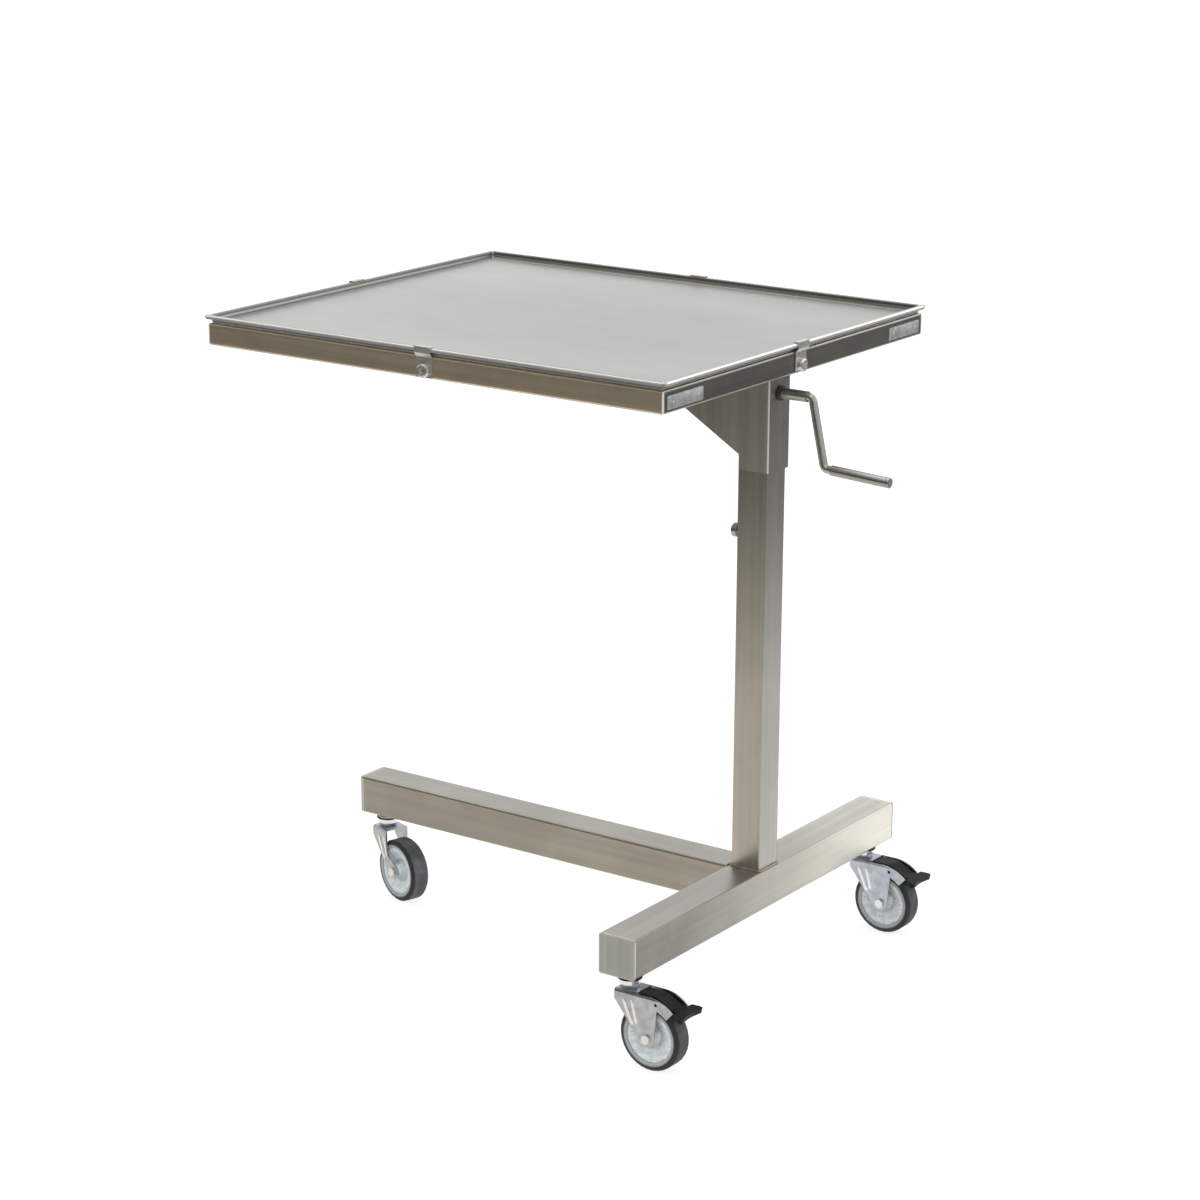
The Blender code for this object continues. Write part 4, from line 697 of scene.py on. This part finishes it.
SHARP_ANGLE = math.radians(35)
RIPPLE_TURN = 0.8 * math.pi    # of a bead's ripple, from one ring to the next
BEAD_END = 0.4                 # a bead's size at its ends, and how much it grows a ring
BEAD_GROWTH = 0.3


def add_object(name, data):
    made = bpy.data.objects.new(name, data)
    bpy.context.scene.collection.objects.link(made)
    return made


def add_piece(name, mesh, finish, body):
    """A new piece of the object, riding on a body."""
    data = bpy.data.meshes.new(name)
    bmesh.ops.recalc_face_normals(mesh, faces=mesh.faces)
    mesh.to_mesh(data)
    mesh.free()
    data.materials.append(finish)
    piece = add_object(name, data)
    data.shade_smooth()
    data.set_sharp_from_angle(angle=SHARP_ANGLE)
    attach(piece, body)
    return piece


def skin(rings, closed=False, mesh=None):
    """A skin over rings of points, capped at its ends unless it closes on itself."""
    if mesh is None:
        mesh = bmesh.new()
    rows = [[mesh.verts.new(point) for point in ring] for ring in rings]
    pairs = list(zip(rows, rows[1:]))
    if closed:
        pairs.append((rows[-1], rows[0]))
    for low, high in pairs:
        for i in range(len(low)):
            j = (i + 1) % len(low)
            mesh.faces.new((low[i], low[j], high[j], high[i]))
    if not closed:
        mesh.faces.new(reversed(rows[0]))
        mesh.faces.new(rows[-1])
    return mesh


def circle(steps):
    """Points round a circle of radius 1, as pairs of numbers."""
    turns = [2 * math.pi * i / steps for i in range(steps)]
    return [(math.cos(turn), math.sin(turn)) for turn in turns]


def rounded_square(half, corner, steps=4):
    """Outline of a square with rounded corners, as pairs of numbers."""
    points = []
    for quarter in range(4):
        turn = quarter * math.pi / 2
        for step in range(steps + 1):
            angle = step * math.pi / 2 / steps
            u = half - corner + corner * math.cos(angle)
            v = half - corner + corner * math.sin(angle)
            across = u * math.cos(turn) - v * math.sin(turn)
            points.append((across, u * math.sin(turn) + v * math.cos(turn)))
    return points


def resampled(path, step, closed):
    """Points at even steps along a path."""
    corners = [Vector(point) for point in path]
    if closed:
        corners.append(corners[0])
    points = []
    for start, end in zip(corners, corners[1:]):
        count = max(1, round((end - start).length / step))
        points += [start.lerp(end, i / count) for i in range(count)]
    if not closed:
        points.append(corners[-1])
    return points


def bead_mesh(path, normal, radius, ripple=0.0, step=0.0014, closed=False, sides=8, flat=1.0):
    """A bead along a path, rippled like a weld; flat below 1 lowers it towards its plane."""
    points = resampled(path, step, closed)
    last = len(points) - 1
    rings = []
    for index, point in enumerate(points):
        size = radius * (1 + ripple * math.sin(index * RIPPLE_TURN))
        if closed:
            ahead = points[(index + 1) % len(points)] - points[index - 1]
        else:
            ahead = points[min(index + 1, last)] - points[max(index - 1, 0)]
            size *= min(1.0, BEAD_END + BEAD_GROWTH * min(index, last - index))
        side = ahead.normalized().cross(normal)
        rings.append([point + size * (u * side + flat * v * normal) for u, v in circle(sides)])
    return skin(rings, closed)


def lathe_rings(profile, place, axis, steps):
    """Rings of a turned shape from (radius, height) pairs, its height along the axis."""
    turn = Vector(axis).to_track_quat("Z", "Y").to_matrix()
    rings = []
    for radius, height in profile:
        ring = [Vector((radius * u, radius * v, height)) for u, v in circle(steps)]
        rings.append([place + turn @ point for point in ring])
    return rings


# Label plates, bare, on the right side of the apron

PLATE_START = 0.2487       # from the middle of the side to the plate's inner end
PLATE_END = 0.3356
PLATE_HEIGHT = 0.019
PLATE_MIDDLE = APRON_LOW.z + 0.015
PLATE_SHEET = 0.0009
PLATE_EASE = 0.0004        # of the edge of its face, over the last of its thickness
PLATE_EASE_START = 0.6
PLATE_CORNER = 0.002
RIVET_INSET = 0.013
RIVET_RADIUS = 0.0021
RIVET_STEPS = 14
RIVET_DOME = (             # shares of its radius, and heights over the plate
    (1.0, -0.0005), (1.0, 0.0003), (0.85, 0.0008), (0.5, 0.0011), (0.1, 0.0012),
)


def plate_rings(start, end):
    """Rings of the plate from its back to its eased face."""
    middle = (start + end) / 2
    longer = (end - start - PLATE_HEIGHT) / 2
    steps = ((0.0, 0.0), (PLATE_SHEET * PLATE_EASE_START, 0.0), (PLATE_SHEET, PLATE_EASE))
    rings = []
    for out, ease in steps:
        ring = []
        for u, v in rounded_square(PLATE_HEIGHT / 2 - ease, PLATE_CORNER):
            y = middle + u + math.copysign(longer, u)
            ring.append(Vector((APRON_HIGH.x + out, y, PLATE_MIDDLE + v)))
        rings.append(ring)
    return rings


def make_label_plates(plate_finish, rivet_finish):
    """Two plates, each under two domed rivets."""
    dome = [(RIVET_RADIUS * share, height) for share, height in RIVET_DOME]
    for label, side in (("near", -1), ("far", 1)):
        start, end = sorted((side * PLATE_START, side * PLATE_END))
        plate = skin(plate_rings(start, end))
        add_piece(f"label_plate_{label}", plate, plate_finish, "lift")
        for end_label, y in (("a", start + RIVET_INSET), ("b", end - RIVET_INSET)):
            seat = Vector((APRON_HIGH.x + PLATE_SHEET, y, PLATE_MIDDLE))
            rivet = skin(lathe_rings(dome, seat, ALONG_X, RIVET_STEPS))
            add_piece(f"label_rivet_{label}_{end_label}", rivet, rivet_finish, "lift")


# Welds and seams: how far one is sunk or stands proud is a share of its radius

CORNER_BEAD = 0.0016
RIM_SEAM_RADIUS = 0.0009
SHEET_CORNER = 0.003       # the tray's corner radius at the apron's face
LEAST_CORNER = 0.0015
COLUMN_WELD = 0.0022
COLUMN_CORNER = 0.004
LEG_WELD = 0.0016
TUBE_CORNER = 0.003
END_SEAM = 0.0008
BRACKET_WELD = 0.0018
BRACKET_INSET = 0.006
WELD_RIPPLE = 0.10
GROUND_RIPPLE = 0.04

# Way of the rim's seam: distance in from the apron's face, and height over the apron
RIM_SEAM = (
    (0.0115, 0.0013), (0.0068, 0.0018), (0.0052, 0.0036), (0.0040, 0.0090),
    (0.0031, 0.0109), (0.0017, 0.0113), (-0.0030, 0.0113), (-0.0044, 0.0107),
    (-0.0048, 0.0095), (-0.0049, 0.0066),
)


def make_apron_corner_beads(finish):
    """Ground beads down the four corners of the apron."""
    radius = CORNER_BEAD
    sunk = 0.6 * radius
    for label, side_x, side_y in CORNERS:
        x = APRON_MIDDLE.x + side_x * (APRON_HALF.x - sunk)
        y = side_y * (APRON_HALF.y - sunk)
        path = [(x, y, APRON_LOW.z + radius / 2), (x, y, APRON_HIGH.z - radius / 2)]
        mesh = bead_mesh(path, ALONG_X, radius, GROUND_RIPPLE, step=0.0015)
        add_piece(f"corner_bead_{label}", mesh, finish, "lift")


def make_rim_seams(finish):
    """Polished seams over the rim at the tray's four corners."""
    for label, side_x, side_y in CORNERS:
        path = []
        for inset, rise in RIM_SEAM:
            corner = max(SHEET_CORNER - inset, LEAST_CORNER) * (1 - math.sqrt(0.5))
            x = APRON_MIDDLE.x + side_x * (APRON_HALF.x - inset - corner)
            y = side_y * (APRON_HALF.y - inset - corner)
            path.append((x, y, APRON_HIGH.z + rise))
        normal = Vector((side_x, -side_y, 0)).normalized()
        mesh = bead_mesh(path, normal, RIM_SEAM_RADIUS, ripple=0.05, step=0.001)
        add_piece(f"rim_seam_{label}", mesh, finish, "lift")


def make_column_foot_weld(finish):
    """Weld round the foot of the column, on the crossbar's top."""
    proud = 0.4 * COLUMN_WELD
    half = (COLUMN_HIGH.x - COLUMN_LOW.x) / 2 + proud
    z = CROSSBAR_HIGH.z + proud
    path = [(COLUMN_AXIS.x + u, v, z) for u, v in rounded_square(half, COLUMN_CORNER)]
    mesh = bead_mesh(path, UP, COLUMN_WELD, WELD_RIPPLE, closed=True)
    add_piece("weld_column_foot", mesh, finish, "base")


def make_leg_weld(finish):
    """Weld round the leg, on the crossbar's side."""
    outline = rounded_square(TUBE_HALF + 0.05 * LEG_WELD, TUBE_CORNER)
    x = CROSSBAR_LOW.x - 0.3 * LEG_WELD
    path = [(x, u, TUBE_MIDDLE + v) for u, v in outline]
    mesh = bead_mesh(path, ALONG_X, LEG_WELD, WELD_RIPPLE, closed=True)
    add_piece("weld_leg", mesh, finish, "base")


def make_end_seams(finish):
    """Ground seams where the end plates close the base tubes."""
    sunk = 0.6 * END_SEAM
    outline = rounded_square(TUBE_HALF - sunk, TUBE_CORNER - sunk)
    across = [(COLUMN_AXIS.x + u, TUBE_MIDDLE + v) for u, v in outline]
    seams = (
        ("front", [(x, CROSSBAR_LOW.y, z) for x, z in across], ALONG_Y),
        ("rear", [(x, CROSSBAR_HIGH.y, z) for x, z in across], ALONG_Y),
        ("leg", [(LEG_LOW.x, u, TUBE_MIDDLE + v) for u, v in outline], ALONG_X),
    )
    for name, path, normal in seams:
        mesh = bead_mesh(path, normal, END_SEAM, GROUND_RIPPLE, step=0.002, closed=True, sides=6)
        add_piece(f"end_seam_{name}", mesh, finish, "base")


def make_bracket_welds(finish):
    """Beads between the cheeks and the plate over them."""
    z = HEAD_PLATE_LOW.z - 0.4 * BRACKET_WELD
    for label, side in (("front", -1), ("rear", 1)):
        y = side * (BRACKET_HIGH.y + 0.3 * BRACKET_WELD)
        path = [(BRACKET_LOW.x + BRACKET_INSET, y, z), (BRACKET_HIGH.x - BRACKET_INSET, y, z)]
        mesh = bead_mesh(path, UP, BRACKET_WELD, WELD_RIPPLE)
        add_piece(f"weld_bracket_{label}", mesh, finish, "lift")


# Small fasteners

SOCKET_SHARE = 0.42        # of a screw head's radius
SOCKET_TAPER = 0.95
SOCKET_FOOT = 0.35         # of the head's height
SOCKET_EDGE = 0.0003
SOCKET_RISE = 0.0002
CROWN_IN = 0.4             # middle of the crown's curve, as shares of the crown
CROWN_DOWN = 0.3
SCREW_STEPS = 24
CLIP_SCREW_HEIGHT = 0.006
CLIP_SCREW_CROWN = 0.0015
SHANK_RADIUS = 0.003
SHANK_STEPS = 12
BOLT_SPREAD = 0.062        # from the middle of a rib to its bolts
BOLT_RADIUS = 0.007
BOLT_HEIGHT = 0.0038
BOLT_CROWN = 0.0018


def socket_screw_mesh(place, axis, radius, height, crown):
    """A round head with a socket in its face."""
    socket = radius * SOCKET_SHARE
    profile = [
        (radius, 0.0),
        (radius, height - crown),
        (radius - crown * CROWN_IN, height - crown * CROWN_DOWN),
        (radius - crown, height),
        (socket + SOCKET_EDGE, height + SOCKET_RISE),
        (socket, height - SOCKET_EDGE),
        (socket * SOCKET_TAPER, height * SOCKET_FOOT),
    ]
    return skin(lathe_rings(profile, place, axis, SCREW_STEPS))


def make_clip_screws(finish):
    """Round clip screws, each with a socket, in place of the plain ones."""
    for name, outward in OUTWARD.items():
        node = f"clip_screw_{name}"
        axis = Vector(outward)
        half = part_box(node)[1] - middle_of(node)
        reach = abs(half.dot(axis))
        seat = middle_of(node) + axis * (reach - CLIP_SCREW_HEIGHT)
        mesh = socket_screw_mesh(seat, axis, half.z, CLIP_SCREW_HEIGHT, CLIP_SCREW_CROWN)
        length = 2 * reach - CLIP_SCREW_HEIGHT
        shank = [(SHANK_RADIUS, 0.0), (SHANK_RADIUS, length)]
        skin(lathe_rings(shank, seat - axis * length, axis, SHANK_STEPS), mesh=mesh)
        piece = add_piece(f"clip_knob_{name}", mesh, finish, "lift")
        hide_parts(node)


def make_head_bolts(finish):
    """Four button-headed bolts under the head plate, into the ribs."""
    for rib in ("right", "middle"):
        x = middle_of(f"frame_rib_{rib}").x
        for label, y in (("front", -BOLT_SPREAD), ("rear", BOLT_SPREAD)):
            seat = Vector((x, y, HEAD_PLATE_LOW.z))
            mesh = socket_screw_mesh(seat, -UP, BOLT_RADIUS, BOLT_HEIGHT, BOLT_CROWN)
            add_piece(f"head_bolt_{rib}_{label}", mesh, finish, "lift")


# Castors

FORK_FACE = 0.0209         # from the middle of a castor to its cheeks' outer face
CHEEK_RIBS = (             # half width, then its ends' places behind and above the pivot's foot
    (0.0034, (0.0030, 0.1030), (0.0190, 0.0660)),
    (0.0024, (0.0165, 0.1045), (0.0255, 0.0690)),
)
RIB_RISE = 0.32            # of a rib's half width
# Height where the fork's painted highlight on the swivel dome begins
DOME_LOW = 0.1165
SHADE_RING_RADIUS = 0.0168
SHADE_RING_EDGES = 32
SHADE_RING_THICKNESS = 0.0013
SHADE_RING_PLACE = 0.0103        # below the tube


def castor_axes(name):
    """Foot of a castor's pivot, its direction of trail and the direction of its axle."""
    pivot = middle_of(f"castor_stem_{name}")
    pivot.z = 0.0
    joint = next(joint for joint in frame["joints"] if joint["name"] == f"wheel_{name}")
    trail = middle_of(f"tyre_{name}") - pivot
    trail.z = 0.0
    return pivot, trail.normalized(), Vector(joint["axis"]).normalized()


def make_cheek_ribs(name, finish):
    """Pressed ribs that run down the cheeks of a fork from its crown towards the hub."""
    pivot, trail, axle = castor_axes(name)
    for label, outward in (("front", axle), ("rear", -axle)):
        face = pivot + outward * FORK_FACE
        for index, (half_width, *ends) in enumerate(CHEEK_RIBS, 1):
            path = [face + trail * back + UP * height for back, height in ends]
            mesh = bead_mesh(path, outward, half_width, step=0.002, sides=12, flat=RIB_RISE)
            add_piece(f"cheek_rib_{name}_{label}_{index}", mesh, finish, f"swivel_{name}")


def make_stem_shade_ring(name, finish):
    """Dark ring round the lower edge of the swivel's race, standing for the shade under it: painted
    shade.
    """
    place = castor_axes(name)[0] + UP * (CROSSBAR_LOW.z - SHADE_RING_PLACE)
    path = [place + SHADE_RING_RADIUS * Vector((u, v, 0)) for u, v in circle(SHADE_RING_EDGES)]
    mesh = bead_mesh(path, UP, SHADE_RING_THICKNESS, step=0.003, closed=True)
    add_piece(f"stem_shade_ring_{name}", mesh, finish, "base")


# Finishes on the solids

def dress(nodes, finish):
    """Gives a finish to the material slots of these solids."""
    for name in nodes:
        data = frame["nodes"][name].data
        if not data.materials:
            data.materials.append(finish)
        for index in range(len(data.materials)):
            data.materials[index] = finish


def dress_brushed(node, tones, grain, **how):
    dress([node], brushed_steel(f"steel_{node}", tones, grain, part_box(node), **how))


def dress_frame():
    # Darker edges on the front, rear and left rails: painted shade
    for name, grain in (("front", "X"), ("rear", "X"), ("left", "Y")):
        dress_brushed(f"rail_{name}", APRON_TONE, grain, rubbing=-0.50, film=0.08)
    # The right rail: painted shade in its darker tone, painted highlights on its edges, painted light
    # towards its rear
    dress_brushed("rail_right", RIGHT_SHADED_TONE, "Y", rubbing=1.5, ground=0.35, paler=APRON_PALER)
    for name in ("right", "middle", "left"):
        dress_brushed(f"frame_rib_{name}", HEAD_TONE, "Y")
    dress(["tray_panel"], tray_sheet_steel())
    dress_brushed("head_plate", HEAD_TONE, "X")
    dress_brushed("head_back_plate", HEAD_TONE, "Z")
    # A painted highlight down the bracket's front right bend, and painted shade on its right face
    corner = Vector((BRACKET_HIGH.x, BRACKET_LOW.y, 0))
    dress_brushed("head_bracket", HEAD_TONE, "Z", roughness=0.37, rubbing=0.3, corner=corner,
                  right=HEAD_RIGHT_SHADE)


def dress_base():
    # Painted light towards the crossbar's rear, painted shade and light on its right face
    dress_brushed("base_crossbar", BASE_TONE, "Y", roughness=0.39, rubbing=0.3,
                  paler=CROSSBAR_PALER, right=CROSSBAR_RIGHT_LIGHT)
    # Painted light on the leg's top
    dress_brushed("base_leg", LEG_TONE, "X", roughness=0.39, top=0.13)
    dress_brushed("column_outer", COLUMN_TONE, "Z", roughness=0.30)
    dress_brushed("column_inner", COLUMN_TONE, "Z", roughness=0.31)
    for name in CASTORS:
        dress_brushed(f"end_plate_{name}", END_TONE, "Z", roughness=0.41)


def dress_clips_and_crank():
    clip = polished_steel("clip_bright", CLIP_TONE, roughness=0.29, film=0.18)
    dress([f"clip_{name}" for name in OUTWARD], clip)
    dress(["crank_bar", "crank_sleeve"], polished_steel("crank_bright", CRANK_TONE, roughness=0.33))
    dress(["crank_grip", "grip_cap"], polished_steel("grip_worn", GRIP_TONE, roughness=0.33))
    dress(["crank_bush"], moulded_plastic("bush_plastic", BUSH_BLACK, roughness=0.46))


def dress_column_parts():
    knob = turned_steel("knob_turned", KNOB_TONE, middle_of("lock_knob"), ALONG_X)
    dress(["lock_knob", "lock_boss"], knob)
    gears = turned_steel("gear_machined", GEAR_TONE, COLUMN_AXIS, UP, roughness=0.35)
    dress(["spindle_gear", "spindle_collar", "crank_gear", "spindle_bearing", "nut_tube"], gears)
    dress(["lift_spindle"], turned_steel("screw_ground", SPINDLE_TONE, COLUMN_AXIS, UP))
    dress(["spindle_nut"], bronze_metal())
    guide = moulded_plastic("guide_plastic", GUIDE_WHITE, roughness=0.43)
    dress(["upper_glide", "lower_glide"], guide)


def dress_castors(black):
    stem = zinc_plate("castor_zinc_plate", ZINC)
    fork = zinc_plate("castor_fork_zinc", ZINC, dome_low=DOME_LOW)
    nut = polished_steel("axle_nut", AXLE_TONE, roughness=0.23)
    for name in CASTORS:
        dress([f"castor_fork_{name}"], fork)
        dress([f"castor_stem_{name}"], stem)
        dress([f"castor_axle_{name}"], nut)
        axle = castor_axes(name)[2]
        centre = middle_of(f"tyre_{name}")
        tones = LEG_TYRE_TONE if name == "leg" else TYRE_TONE
        dress([f"tyre_{name}"], tyre_rubber(f"tyre_rubber_{name}", centre, axle, tones))
        dress([f"wheel_centre_{name}"], wheel_plastic(f"wheel_nylon_{name}", centre, axle))
    dress(["brake_pedal_front", "brake_pedal_rear"], black)


# The scene's own pieces

def make_castor_pieces(black):
    # Cheek ribs in near-white zinc: a painted highlight
    highlight_zinc = zinc_plate("castor_highlight_zinc", HIGHLIGHT_ZINC, roughness=0.31)
    for name in CASTORS:
        make_cheek_ribs(name, highlight_zinc)
        # A dark ring of painted shade under each race
        make_stem_shade_ring(name, black)


def make_welds_and_fasteners():
    weld = weld_metal()
    seam = polished_steel("seam_polished", SEAM_TONE, roughness=0.27)
    screw = polished_steel("screw_bright", SCREW_TONE, roughness=0.23, film=0.12)
    corner = polished_steel("corner_ground", CORNER_TONE, roughness=0.37, film=0.6)
    make_label_plates(plate_metal(), screw)
    make_apron_corner_beads(corner)
    make_rim_seams(seam)
    make_column_foot_weld(weld)
    make_leg_weld(weld)
    make_end_seams(seam)
    make_bracket_welds(weld)
    make_clip_screws(screw)
    make_head_bolts(screw)


# Floor, room and lamps

def ray_kinds(finish):
    """Share of camera rays, and of rays from a mirror or through glass."""
    rays = finish.node("LightPath", {}, {})
    outputs = rays.socket.node.outputs
    mirrored = Wire(finish, outputs["Is Glossy Ray"]).most(Wire(finish, outputs["Is Transmission Ray"]))
    return Wire(finish, outputs["Is Camera Ray"]), mirrored


def floor_shine(finish, place, away):
    """How bright and how warm the floor looks in metal, by its place."""
    heading = finish.vector("NORMALIZE", place)
    right = finish.along(heading, RIGHT_WAY).ramp(*RIGHT_STEP)
    front_shine = away.ramp(WHITE_END, FRONT_DIM, *FRONT_FLOOR)
    right_shine = away.ramp(WHITE_END, RIGHT_DIM, *RIGHT_FLOOR)
    shine = front_shine * (1 - right) + right_shine * right
    return shine, finish.blend(right, WARM, NEUTRAL)


def floor_finish():
    """A pale floor, white to the camera, that metal sees as it lies in a dim room."""
    finish = new_finish("floor_white")
    camera, mirrored = ray_kinds(finish)
    place = finish.node("NewGeometry", {}, {}, "Position")
    behind = Wire(finish, place.socket.node.outputs["Backfacing"])
    away = finish.length(finish.vector("MULTIPLY", place, (1, 1, 0)))
    shine, tint = floor_shine(finish, place, away)
    cloth = finish.node("BsdfDiffuse", {}, {0: opaque((FLOOR_WHITE,) * 3)})
    colour = finish.blend(mirrored, WHITE, tint)
    glow = finish.node("Emission", {}, {0: colour, 1: camera * SEEN_WHITE + mirrored * shine})
    share = camera * away.ramp(*SEEN_FADE, SEEN_SHARE, 1.0) + mirrored
    seen = finish.node("MixShader", {}, {0: share.least(1.0), 1: cloth, 2: glow})
    clear = finish.node("BsdfTransparent", {}, {})
    whole = finish.node("MixShader", {}, {0: behind, 1: seen, 2: clear})
    finish.feed(finish.nodes["Material Output"].inputs["Surface"], whole)
    return finish.owner


def make_floor():
    mesh = bmesh.new()
    bmesh.ops.create_circle(mesh, cap_ends=True, segments=FLOOR_EDGES, radius=FLOOR_RADIUS)
    data = bpy.data.meshes.new("floor")
    mesh.to_mesh(data)
    mesh.free()
    data.materials.append(floor_finish())
    add_object("floor", data)


def make_world():
    """White to the camera; to metal a dim front, a white backdrop at the rear and a pale ceiling."""
    world = bpy.data.worlds.new("studio")
    bpy.context.scene.world = world
    finish = Finish(world)
    camera, mirrored = ray_kinds(finish)
    direction = finish.node("TexCoord", {}, {}, "Generated")
    rear = finish.along(direction, REAR_WAY).ramp(*REAR_STEP)
    above = finish.parts(direction)[2].ramp(*CEILING_STEP)
    level = rear * (BACKDROP - FRONT_ROOM) + FRONT_ROOM
    room = level * (1 - above) + above * OVERHEAD
    plain = (1 - camera.most(mirrored)) * ROOM_LIGHT
    back = finish.nodes["Background"]
    finish.feed(back.inputs["Color"], finish.blend(mirrored * (1 - rear), WHITE, WARM))
    finish.feed(back.inputs["Strength"], camera + mirrored * (1 - camera) * room + plain)


def add_lamp(name, place, aim, size, power):
    """A soft rectangular lamp, aimed at a point."""
    data = bpy.data.lights.new(name, "AREA")
    data.shape = "RECTANGLE"
    data.size = size[0]
    data.size_y = size[1]
    data.energy = power
    lamp = add_object(name, data)
    lamp.location = place
    lamp.rotation_euler = (Vector(aim) - Vector(place)).to_track_quat("-Z", "Y").to_euler()


def make_lamps():
    add_lamp("ceiling_lamp", place=(-0.6, 0.3, 4.6), aim=(0.0, 0.0, 0.5), size=(4.4, 4.4), power=50)
    add_lamp("front_lamp", place=(3.2, -2.5, 1.5), aim=(0.2, 0.0, 0.7), size=(1.0, 1.6), power=8)
    add_lamp("side_lamp", place=(3.6, 2.4, 2.2), aim=(0.1, 0.0, 0.4), size=(3.0, 3.0), power=22)


def make_camera():
    data = bpy.data.cameras.new("camera")
    data.lens = CAMERA_LENS
    data.sensor_width = SENSOR_WIDTH
    data.sensor_fit = "HORIZONTAL"
    data.clip_end = VIEW_END
    camera = add_object("camera", data)
    heading = Matrix.Rotation(CAMERA_TURN, 4, "Z")
    fall = Matrix.Rotation(math.pi / 2 - CAMERA_FALL, 4, "X")
    roll = Matrix.Rotation(CAMERA_ROLL, 4, "Z")
    camera.matrix_world = Matrix.Translation(CAMERA_PLACE) @ heading @ fall @ roll
    bpy.context.scene.camera = camera


pedal_black = moulded_plastic("pedal_plastic", PEDAL_BLACK, roughness=0.43, gloss=0.14)
dress_frame()
dress_base()
dress_clips_and_crank()
dress_column_parts()
dress_castors(pedal_black)
make_castor_pieces(pedal_black)
make_welds_and_fasteners()
make_floor()
make_world()
make_lamps()
make_camera()
bpy.context.scene.view_settings.view_transform = "Standard"
